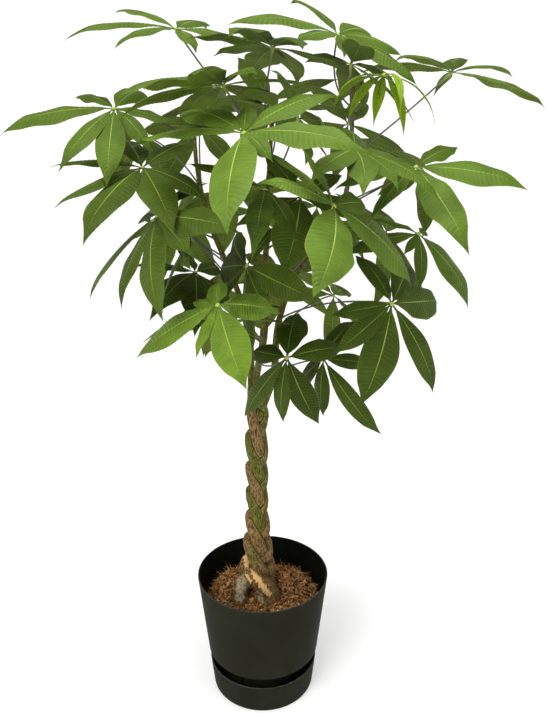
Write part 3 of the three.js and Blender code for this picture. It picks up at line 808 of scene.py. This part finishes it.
def bark_piece(node, stems):
    """A node's stem and its shoots as one tube of bark each, flattened where the strands press."""
    points = []
    faces = []
    greens = []
    creases = []
    alongs = []
    for stem in stems:
        route = stem_routes[stem]
        radii = []
        for i, centre in enumerate(route):
            knots = 1 + BARK_KNOTS * noise.noise(centre * 38) + BARK_RINGS * math.sin(i * 0.83)
            radii.append(bark_radius(stem, centre.z) * knots)
        radii[-1] *= TIP_CLOSING
        start = len(points)
        tube(route, radii, BARK_SIDES, points, faces)
        scale = BARK_GREEN.get(stem, SHOOT_GREEN)
        heights = [MM * height for height, _ in scale]
        shares = [share for _, share in scale]
        for i in range(start, len(points)):
            centre = route[(i - start) // BARK_SIDES]
            out = (points[i] - centre).normalized()
            rough = noise.noise(points[i] * 160) + 0.6 * noise.noise(points[i] * 410)
            points[i] = flattened(points[i]) + out * (BARK_ROUGHNESS * rough)
            greens.append(float(np.interp(points[i].z, heights, shares)))
            alongs.append(BARK_STEP * ((i - start) // BARK_SIDES))
        creases += list(crease_shares(points[start:], stem))
    piece = plant_piece(f"{node}_bark", points, faces, [bark])
    tint_piece(piece, "green", greens)
    # The crease share feeds the bark's painted shade and painted highlight.
    tint_piece(piece, "crease", creases)
    tint_piece(piece, "along", alongs)
    tint_piece(piece, "peel", [nearness(point, PEELED_STREAKS) for point in points])
    tint_piece(piece, "lichen", [nearness(point, LICHEN_STREAKS) for point in points])
    settle(piece, "bark", node)


bark_piece("stem_left", ["left"])
bark_piece("stem_middle", ["middle", "front", "back"])
bark_piece("stem_right", ["right"])


# A leaf is one compound blade on a long stalk: five to seven leaflets spread from a pale knot.
# Each leaflet is a thin folded sheet, quilted between its side veins, with a drawn-out tip.
KNOT_RADIUS = 3.2 * MM
KNOT_FLATNESS = 0.35
KNOT_BUMPS = 0.18
STALK_RADIUS = 1.35 * MM
STALK_END_RADIUS = 2.4 * MM
STALK_END_STEEPNESS = 9
STALK_DEPTH = 3 * MM
STALK_GRAIN = 0.6 * MM
STALK_GREEN = (0.070, 0.080, 0.040, 1)
STALK_PURPLE = (0.105, 0.078, 0.082, 1)
KNOT_GREEN = (0.34, 0.46, 0.05, 1)
STALK_SIDES = 10
STALK_STEPS = 22
STALK_LEAN = math.radians(53)
STALK_BEND = 0.45
BLADE_WIDTH_SHARE = 0.29
BLADE_ROOF = 0.16
BLADE_ARCH = 0.06
YOUNG_BLADE_ARCH = 0.12
BLADE_START = 0.045
BLADE_SKEW = 0.93
BLADE_ROLL = math.radians(7)
BLADE_FOLDS = (0.75, 1.5)
BLADE_WAVES = (0.7 * MM, 2.4 * MM)
BLADE_WAVE_BEATS = (1.4, 3.4)
WAVED_WIDTH = 50 * MM
BLADE_SWAY = 0.022
TIP_START = 0.78
TIP_PINCH = 0.45
TIP_CURL_START = 0.72
TIP_CURLS = (0.01, 0.07)
SIDE_VEINS = 21
VEIN_START = 0.085
VEIN_END = 0.95
VEIN_SWEEP = 0.06
QUILTING = 0.4 * MM
YOUNG_QUILTING = 1.1 * MM
TWIST = math.radians(16)
BLADE_THICKNESS = 0.8 * MM
LEAFSTALK_HALF_WIDTH = 1.4 * MM
TIP_HALF_WIDTH = 0.25 * MM
MIDRIB_DEPTH = 1.5 * MM
MIDRIB_THINNING = 1.2 * MM
MIDRIB_GROOVE = 0.35 * MM
BLADE_EDGE = math.radians(60)
LEAF_GRAIN = 1.4 * MM
FRESH_GREEN = (0.270, 0.430, 0.006, 1)
LEAF_SEED = 100
BLADE_COLUMNS = np.array((-1, -0.75, -0.42, -0.05, 0, 0.05, 0.42, 0.75, 1.0))
BLADE_ROOT_ROWS = (0, 0.03, 0.06)
BLADE_TIP_ROWS = (0.968, 0.984, 1.0)


def leaf_finish(name, mature, young, pale, gloss, underside):
    """A leaf's skin: darker mature or brighter young green by a tone that is partly age and partly painted
    light and shade, thin pale veins, fine netting.
    """
    finish = Finish(name, {
        "Specular IOR Level": 0.07, "Subsurface Weight": 0.05, "Subsurface Scale": 1.0,
        "Subsurface Radius": (0.0008, 0.0014, 0.0003),
    })
    blade = finish.add("ShaderNodeUVMap", {"uv_map": "blade"}, {}, "UV")
    along = finish.add("ShaderNodeSeparateXYZ", {}, {0: blade}, "X")
    across = finish.add("ShaderNodeSeparateXYZ", {}, {0: blade}, "Y")
    side = (across * 2.0 - 1.0).through("ABSOLUTE")
    # The leaf's tone is partly its age and partly painted light: darker for leaves in the crown's shade,
    # lighter where a leaf catches a sheen.
    age_and_light = finish.tint("youth")
    wander = (finish.cloud(45.0, 2.0) - 0.5) * 0.018
    turns = (along + wander - VEIN_START) * (2 * math.pi * SIDE_VEINS / (VEIN_END - VEIN_START))
    rows = turns.through("COSINE")
    vein = rows.between(0.88, 1.0) * (1.0 - side.between(0.80, 0.97))
    rib = 1.0 - (side / (1.12 - along)).between(0.020, 0.060)
    margin = side.between(0.965, 0.995)
    patches = finish.cloud(16.0, 4.0, 0.6)
    netting = finish.cloud(900.0, 3.0, 0.7)
    deep = finish.blend(age_and_light, shaded(mature, 0.60), shaded(young, 0.70))
    green = finish.blend(age_and_light.between(0.6, 1.0), finish.blend(age_and_light, mature, young), FRESH_GREEN)
    skin = finish.blend(patches.between(0.32, 0.68), deep, green)
    skin = finish.blend((1.0 - rows).between(0.4, 2.0) * 0.26 + netting * 0.22, skin, deep)
    faint = finish.cloud(70.0, 2.0).between(0.25, 0.75)
    skin = finish.blend(vein * faint * (0.34 if underside else 0.15), skin, pale)
    skin = finish.blend(margin * 0.16, skin, pale)
    finish.set("Base Color", finish.blend(rib * (0.62 + age_and_light * 0.35) * (1.0 - along * 0.4), skin, pale))
    finish.set("Roughness", gloss + patches * 0.14 + netting * 0.08)
    height = netting * 0.12 - rib * 0.3 - vein * 0.25 - rows * faint * 0.34
    finish.relief(height * -1.0 if underside else height, LEAF_GRAIN)
    return finish.material


blade_skin = leaf_finish(
    "leaf_upper", mature=(0.033, 0.053, 0.0025, 1), young=(0.175, 0.292, 0.036, 1),
    pale=(0.380, 0.520, 0.100, 1), gloss=0.36, underside=False,
)
blade_back = leaf_finish(
    "leaf_underside", mature=(0.095, 0.140, 0.022, 1), young=(0.200, 0.300, 0.025, 1),
    pale=(0.320, 0.430, 0.100, 1), gloss=0.52, underside=True,
)


def stalk_finish():
    """Purple-grey over green, greener and paler towards the knot."""
    finish = Finish("leaf_stalk", {"Specular IOR Level": 0.4})
    blush = finish.cloud(30.0)
    skin = finish.blend(blush.between(0.35, 0.65), STALK_GREEN, STALK_PURPLE)
    finish.set("Base Color", finish.blend(finish.tint("pale"), skin, KNOT_GREEN))
    finish.set("Roughness", 0.46 + blush * 0.12)
    finish.relief(finish.cloud(1.0, 3.0, 0.6, finish.stretched(900.0, 160.0)), STALK_GRAIN)
    return finish.material


stalk_skin = stalk_finish()

vein_rows = np.linspace(VEIN_START, VEIN_END, 2 * SIDE_VEINS + 1)
blade_rows = np.concatenate((BLADE_ROOT_ROWS, vein_rows, BLADE_TIP_ROWS))
vein_swell = np.cos(np.pi * (np.arange(len(vein_rows)) + 1))
quilt_rows = np.pad(vein_swell, (len(BLADE_ROOT_ROWS), len(BLADE_TIP_ROWS)))


def blade_outline(share):
    """Half width of a blade by its share of the length: pointed at both ends."""
    blade = np.clip((share - BLADE_START) / (1 - BLADE_START), 0, 1)
    return np.sin(math.pi * blade ** BLADE_SKEW).clip(0)


def blade_faces():
    """The faces of a closed blade: upper side, underside and both ends."""
    rows = len(blade_rows)
    columns = len(BLADE_COLUMNS)

    def upper(i, j):
        return i * columns + j

    def under(i, j):
        if j in (0, columns - 1):
            return upper(i, j)
        return rows * columns + i * (columns - 2) + j - 1

    faces = []
    for i in range(rows - 1):
        for j in range(columns - 1):
            faces.append((upper(i, j), upper(i + 1, j), upper(i + 1, j + 1), upper(i, j + 1)))
    for i in range(rows - 1):
        for j in range(columns - 1):
            faces.append((under(i, j), under(i, j + 1), under(i + 1, j + 1), under(i + 1, j)))
    for i, order in ((0, 1), (rows - 1, -1)):
        top = [upper(i, j) for j in range(columns)]
        low = [under(i, j) for j in range(columns - 2, 0, -1)]
        faces.append((top + low)[::order])
    sides = [0] * ((rows - 1) * (columns - 1)) + [1] * ((rows - 1) * (columns - 1)) + [0, 0]
    return faces, sides


BLADE_FACES, BLADE_SIDES = blade_faces()


def blade_points(root, along, up, length, width, youth, rng):
    """The points of one leaflet, and each one's place on the blade for its finish."""
    roll = Matrix.Rotation(BLADE_ROLL, 3, along)
    directions = np.array((along, roll @ up.cross(along), roll @ up, up))
    rows = blade_rows[:, None]
    columns = BLADE_COLUMNS[None, :]
    side = np.abs(columns)
    fade = np.clip(6 * np.minimum(rows - 0.04, 1 - rows), 0, 1)
    share = rows + VEIN_SWEEP * side ** 1.3 * fade
    half = blade_outline(share) * width / 2
    half *= 1 - TIP_PINCH * np.clip((share - TIP_START) / (1 - TIP_START), 0, 1)
    half = np.maximum(half, np.where(rows < 0.5, LEAFSTALK_HALF_WIDTH, TIP_HALF_WIDTH))
    fold = BLADE_ROOF * rng.uniform(*BLADE_FOLDS)
    arch = BLADE_ARCH + YOUNG_BLADE_ARCH * clamp((youth - 0.85) / 0.1)
    lift = arch * length * 4 * share * (1 - share) - fold * half * side
    lift = lift + 0.05 * half * np.sin(math.pi * side)
    wave = rng.uniform(*BLADE_WAVES) * (width / WAVED_WIDTH)
    beats = rng.uniform(*BLADE_WAVE_BEATS)
    for edge in (-1, 1):
        phase = rng.uniform(0, 2 * math.pi)
        swing = np.sin(2 * math.pi * beats * share + phase) * side ** 2
        lift = lift + np.where(columns * edge > 0, wave * swing * fade, 0)
    curl = np.clip((share - TIP_CURL_START) / (1 - TIP_CURL_START), 0, 1) ** 2
    lift = lift - rng.uniform(*TIP_CURLS) * length * curl
    quilting = QUILTING + (YOUNG_QUILTING - QUILTING) * clamp((youth - 0.4) / 0.4)
    quilt = quilting * np.sin(math.pi * np.clip(side, 0, 0.94)) ** 0.6 * quilt_rows[:, None]
    lift = lift + quilt * np.clip(half / (12 * MM), 0, 1)
    sway = rng.uniform(-BLADE_SWAY, BLADE_SWAY) * length * np.sin(math.pi * share)
    twist = TWIST * rng.uniform(-1, 1) * share
    flat = columns * half
    lateral = flat * np.cos(twist) + sway
    thick = BLADE_THICKNESS / 2 * (1 - side ** 2) * np.clip(half / (6 * MM), 0.5, 1)
    keel = np.where(columns == 0, MIDRIB_DEPTH - MIDRIB_THINNING * rows, 0)
    groove = np.where(columns == 0, MIDRIB_GROOVE, 0)

    def surface(offset):
        spots = np.stack((share * length, lateral, offset + flat * np.sin(twist), lift), axis=-1)
        return spots @ directions + np.array(root)

    upper = surface(thick - groove)
    under = surface(-thick - keel)[:, 1:-1]
    places = np.stack(np.broadcast_arrays(rows, (columns + 1) / 2), axis=-1)
    points = np.concatenate((upper.reshape(-1, 3), under.reshape(-1, 3)))
    return points, np.concatenate((places.reshape(-1, 2), places[:, 1:-1].reshape(-1, 2)))


def leaf_frame(azimuth, elevation):
    """Which way a leaf's upper side faces, its top and its right-hand side."""
    turn = math.radians(azimuth)
    tilt = math.radians(elevation)
    frontward = Vector((math.sin(turn), -math.cos(turn), 0))
    upward = Vector((0, 0, 1))
    facing = frontward * math.cos(tilt) + upward * math.sin(tilt)
    top = upward * math.cos(tilt) - frontward * math.sin(tilt)
    return facing, top, Vector((math.cos(turn), math.sin(turn), 0))


def stalk_route(hub, stem, joins):
    """The stalk's bent line from the bark up to the knot."""
    route = stem_routes[stem]
    place = next(i for i, point in enumerate(route) if point.z > joins)
    centre = route[place]
    rising = (route[place] - route[place - 1]).normalized()
    outward = hub - centre
    outward = (outward - rising * outward.dot(rising)).normalized()
    start = centre + outward * (bark_radius(stem, joins) + math.cos(STALK_LEAN) * STALK_END_RADIUS)
    heading = outward * math.sin(STALK_LEAN) + rising * math.cos(STALK_LEAN)
    elbow = start + heading * (STALK_BEND * (hub - start).length)
    root = start - heading * STALK_DEPTH
    return [root] + [bent(start, elbow, hub, i / STALK_STEPS) for i in range(STALK_STEPS + 1)]


def stalk_radius(share):
    """Swollen where it joins the stem and below the knot."""
    return STALK_RADIUS + (STALK_END_RADIUS - STALK_RADIUS) * abs(2 * share - 1) ** STALK_END_STEEPNESS


def stalk_and_knot(number, centre, facing, stem, joins):
    """The points and faces of a leaf's stalk and knot, and how pale each point is."""
    points = []
    faces = []
    curve = stalk_route(centre, stem, joins)
    shares = [i / (len(curve) - 1) for i in range(len(curve))]
    tube(curve, [stalk_radius(share) for share in shares], STALK_SIDES, points, faces)
    pale = [0.85 * clamp((share - 0.86) / 0.14) for share in shares for _ in range(STALK_SIDES)]
    start = len(points)
    knot = bmesh.new()
    bmesh.ops.create_icosphere(knot, subdivisions=3, radius=KNOT_RADIUS)
    for corner in knot.verts:
        bump = 1 + KNOT_BUMPS * noise.noise(corner.co * 420 + Vector((number, 0, 0)))
        flat = corner.co - facing * (KNOT_FLATNESS * corner.co.dot(facing))
        points.append(centre + flat * bump)
        pale.append(1.0)
    faces += [[start + corner.index for corner in face.verts] for face in knot.faces]
    knot.free()
    return points, faces, pale


def leaf_piece(number, stem, joins, hub, faces, droop, leaflets, youth):
    """One leaf: stalk, knot and leaflets in one mesh."""
    name = f"leaf_{number:02d}"
    rng = random.Random(LEAF_SEED + number)
    centre = Vector(hub) * MM
    facing, top, side = leaf_frame(*faces)
    fall = math.radians(droop)
    stalk_points, all_faces, pale = stalk_and_knot(number, centre, facing, stem, joins * MM)
    points = [np.array([tuple(point) for point in stalk_points])]
    places = [np.zeros((len(stalk_points), 2))]
    skins = [2] * len(all_faces)
    offset = len(stalk_points)
    tones = [youth] * offset
    for clock, length, *rest in leaflets:
        width = rest[0] if rest else BLADE_WIDTH_SHARE * length
        angle = math.radians(clock)
        outward = top * math.cos(angle) + side * math.sin(angle)
        along = outward * math.cos(fall) - facing * math.sin(fall)
        up = facing * math.cos(fall) + outward * math.sin(fall)
        blade, spots = blade_points(centre, along, up, length * MM, width * MM, youth, rng)
        points.append(blade)
        places.append(spots)
        all_faces += [[offset + corner for corner in face] for face in BLADE_FACES]
        skins += BLADE_SIDES
        tones += [clamp(youth + rng.uniform(-0.07, 0.07))] * len(blade)
        offset += len(blade)
    points = np.concatenate(points)
    pale += [0.0] * (offset - len(pale))
    piece = plant_piece(f"{name}_spray", points.tolist(), all_faces, [blade_skin, blade_back, stalk_skin])
    piece.data.polygons.foreach_set("material_index", np.array(skins, np.int32))
    piece.data.set_sharp_from_angle(angle=BLADE_EDGE)
    layer = piece.data.uv_layers.new(name="blade")
    corners = np.zeros(len(piece.data.loops), np.int32)
    piece.data.loops.foreach_get("vertex_index", corners)
    layer.data.foreach_set("uv", np.concatenate(places)[corners].astype(np.float32).ravel())
    tint_piece(piece, "pale", pale)
    tint_piece(piece, "youth", tones)
    settle(piece, "leaf", name)


# Every leaf's stem, the height where it joins, its knot, the way that it faces, its droop, its
# leaflets as clock angle, length and width where that isn't the usual, and its youth. The youth is
# a tone that is partly the leaf's age and partly painted light: darker for leaves in the crown's
# shade, lighter where a leaf catches a sheen.
FRONT_LEAVES = (
    ("middle", 985, (-125, 15, 1155), (30, 70), 5,
     ((264, 170, 35), (348, 175), (237, 140), (183, 95), (42, 155), (110, 130)), 0.35),
    ("right", 1045, (115, 0, 1145), (45, 60), 4,
     ((18, 170), (278, 190, 40), (255, 120), (70, 160), (96, 160), (150, 140), (216, 80)), 0.35),
    ("middle", 1000, (20, -60, 1120), (105, 80), 5,
     ((60, 130), (93, 185, 53), (120, 175), (270, 155), (303, 165), (180, 130), (0, 120)), 0.3),
    ("middle", 980, (-45, -145, 1065), (-128, 78), 5,
     ((93, 180), (138, 140), (60, 155), (27, 110), (303, 130), (255, 120), (200, 150)), 0.35),
    ("left", 995, (-205, -70, 1040), (15, 60), 15,
     ((276, 170), (219, 135, 34), (189, 141, 40), (150, 90), (24, 145), (330, 110), (90, 100)), 0.3),
    ("left", 850, (-165, -95, 960), (0, 70), 5,
     ((225, 145), (195, 190), (159, 175), (130, 130), (24, 150), (340, 160), (285, 150)), 0.22),
    ("front", 870, (-15, -230, 1005), (-30, 60), 5,
     ((270, 190), (298, 185), (333, 95), (159, 185, 62), (93, 165, 40), (128, 80), (30, 140)), 0.55),
    ("middle", 970, (25, -45, 1040), (150, 80), 0,
     ((102, 110, 22), (294, 145), (200, 100), (351, 130), (60, 130), (250, 130)), 0.3),
    ("right", 1010, (130, -50, 1100), (105, 60), 5,
     ((111, 150), (64, 95), (128, 140), (285, 160), (245, 100), (180, 130)), 0.3),
    ("right", 1030, (160, -175, 1075), (135, 80), 36,
     ((108, 90, 15), (138, 85, 16), (303, 95, 10), (171, 100, 17), (231, 90, 9), (27, 80, 10),
      (70, 80, 10)), 0.95),
    ("right", 975, (290, 15, 1095), (105, 80), 5,
     ((327, 160, 36), (298, 160, 36), (268, 160, 30), (108, 140, 16), (183, 170), (30, 140)), 0.35),
    ("right", 895, (216, -125, 962), (-21, 60), 10,
     ((291, 125), (30, 95, 30), (90, 152), (147, 170, 48), (204, 110), (258, 120)), 0.4),
    ("front", 790, (95, -245, 920), (60, 40), 5,
     ((237, 170, 63), (141, 170, 55), (90, 120), (297, 120), (20, 120), (330, 110)), 0.55),
    ("front", 850, (57, -166, 925), (15, 38), 6,
     ((200, 115, 60), (250, 100), (108, 100), (60, 85), (335, 90)), 0.18),
    ("right", 905, (125, -180, 985), (45, 70), 5,
     ((249, 140), (222, 130), (192, 100), (165, 130), (45, 160), (114, 80), (310, 130)), 0.4),
    ("front", 745, (-15, -180, 835), (-60, 20), 15,
     ((165, 130, 42), (288, 140), (262, 160), (236, 120), (96, 140, 42), (130, 85), (20, 80)), 0.14),
    ("front", 705, (-50, -250, 797), (-30, 45), 12,
     ((234, 140, 48), (143, 122, 51), (82, 82, 36), (328, 50, 30), (275, 50, 18), (188, 75, 18)), 0.7),
    ("left", 820, (-135, -170, 900), (-60, 50), 15,
     ((219, 180), (129, 180, 44), (75, 145), (102, 115), (276, 150), (165, 135), (330, 120)), 0.22),
    ("left", 805, (-95, -140, 865), (-87, 30), 5,
     ((96, 130, 32), (300, 100), (50, 100), (235, 110), (160, 110)), 0.22),
    ("left", 730, (-105, -10, 795), (70, 62), 7,
     ((261, 170), (238, 170), (90, 115), (50, 120), (200, 120), (310, 110)), 0.18),
    ("right", 715, (185, -170, 780), (15, 30), 35,
     ((273, 90), (78, 155, 53), (195, 160, 55), (141, 185, 33), (354, 130), (42, 150), (235, 110)), 0.15),
    ("right", 830, (235, -80, 865), (30, 50), 30,
     ((130, 160, 42), (192, 85, 24), (282, 120), (345, 100), (60, 80, 18), (235, 40, 14)), 0.3),
    ("front", 650, (40, -165, 700), (-15, 30), 45,
     ((228, 165, 32), (153, 130, 40), (190, 125, 30), (351, 140, 48), (60, 115), (288, 120)), 0.12),
    ("right", 615, (100, -60, 665), (-30, 30), 45,
     ((138, 175, 32), (240, 110), (75, 90), (300, 120), (0, 140), (190, 120)), 0.1),
    ("front", 660, (-55, -120, 740), (-165, 60), 5,
     ((177, 150), (24, 120), (220, 120), (330, 130), (100, 120), (270, 110)), 0.1),
    ("middle", 930, (55, -100, 1025), (105, 40), 5,
     ((132, 110), (98, 140), (264, 130), (310, 130), (180, 110)), 0.25),
    ("middle", 850, (10, -185, 935), (30, 70), 3,
     ((212, 170, 32), (190, 130, 28), (51, 130), (330, 130), (246, 90)), 0.25),
)
BACK_LEAVES = (
    ("left", 930, (-210, 175, 1005), (-125, 52), 15),
    ("left", 915, (-110, 180, 1020), (-150, 50), 15),
    ("back", 945, (15, 235, 1065), (175, 55), 8),
    ("right", 995, (155, 210, 1025), (140, 50), 12),
    ("right", 900, (270, 90, 950), (109, 48), 20),
    ("left", 770, (-150, 140, 870), (-135, 40), 20),
    ("back", 870, (-50, 240, 900), (-165, 40), 20),
    ("back", 845, (105, 280, 875), (155, 40), 20),
    ("right", 800, (220, 130, 840), (125, 35), 22),
    ("left", 690, (-80, 150, 740), (-142, 32), 29),
    ("back", 750, (30, 210, 755), (175, 35), 26),
    ("right", 690, (130, 140, 725), (140, 35), 25),
)
BACK_LEAFLETS = 5
BACK_YOUTH = 0.22
BACK_SEED = 11


def drawn_shares(seed):
    """Shares of 1 without end, drawn as the solids' own source draws them."""
    while True:
        seed = seed * 16807 % 2147483647
        yield seed / 2147483647


for number, row in enumerate(FRONT_LEAVES, 1):
    leaf_piece(number, *row)

draws = drawn_shares(BACK_SEED)
for number, row in enumerate(BACK_LEAVES, len(FRONT_LEAVES) + 1):
    leaflets = []
    for i in range(BACK_LEAFLETS):
        clock = (i + 0.4 * next(draws)) / BACK_LEAFLETS * 360
        leaflets.append((clock, 125 + 40 * next(draws)))
    leaf_piece(number, *row, leaflets, BACK_YOUTH)


# The plant stands on a plain pale studio floor that runs up into a pale wall all round, under
# large soft lights, and is seen from slightly above.
FLOOR_RADIUS = 3.4
FLOOR_STEPS = 6
FLOOR_DROP = 0.5 * MM
COVE_RADIUS = 1.2
COVE_STEPS = 16
WALL_HEIGHT = 3.2
PAPER = (0.80, 0.80, 0.79, 1), (0.83, 0.83, 0.82, 1)
CAMERA_PLACE = Vector((0.0227, -1.107, 0.995))
CAMERA_TILT = math.radians(17.3)
CAMERA_FOCUS_PIXELS = 690
PHOTO_HEIGHT_PIXELS = 713
SENSOR = 36.0

cove = [(FLOOR_RADIUS * i / FLOOR_STEPS, -FLOOR_DROP) for i in range(FLOOR_STEPS + 1)]
for i in range(1, COVE_STEPS + 1):
    angle = math.pi / 2 * i / COVE_STEPS
    cove.append((FLOOR_RADIUS + COVE_RADIUS * math.sin(angle), COVE_RADIUS * (1 - math.cos(angle))))
cove.append((FLOOR_RADIUS + COVE_RADIUS, WALL_HEIGHT))
studio = turned("studio_floor", cove)
studio.data.flip_normals()
floor_finish = Finish("studio_paper", {
    "Roughness": 0.9, "Specular IOR Level": 0.1, "Emission Color": (1, 1, 1, 1), "Emission Strength": 0.30,
})
floor_finish.set("Base Color", floor_finish.blend(floor_finish.cloud(3.0, 2.0), *PAPER))
studio.data.materials.append(floor_finish.material)

world = bpy.data.worlds.new("studio_light")
world.use_nodes = True
backdrop = world.node_tree.nodes["Background"].inputs
backdrop["Color"].default_value = (1.0, 1.0, 1.0, 1)
backdrop["Strength"].default_value = 0.12
bpy.context.scene.world = world
bpy.context.scene.view_settings.view_transform = "Standard"


def softbox(name, place, aim, size, power):
    """A large square lamp at a place, aimed at a point."""
    lamp = bpy.data.lights.new(name, "AREA")
    lamp.shape = "SQUARE"
    lamp.size = size
    lamp.energy = power
    holder = placed(name, lamp)
    holder.location = place
    holder.rotation_euler = (Vector(aim) - Vector(place)).to_track_quat("-Z", "Y").to_euler()


softbox("key_light", (-1.4, -2.2, 2.8), (0, 0, 0.7), 1.8, 74)
softbox("fill_light", (2.4, -1.6, 1.6), (0, 0, 0.6), 1.8, 10)
softbox("top_light", (0.1, -0.3, 3.4), (0, 0, 0.8), 2.0, 95)

camera_data = bpy.data.cameras.new("camera")
camera_data.sensor_width = SENSOR
camera_data.lens = CAMERA_FOCUS_PIXELS / PHOTO_HEIGHT_PIXELS * SENSOR
camera_data.clip_end = 60
camera = placed("camera", camera_data)
camera.location = CAMERA_PLACE
camera.rotation_euler = (math.pi / 2 - CAMERA_TILT, 0, 0)
bpy.context.scene.camera = camera
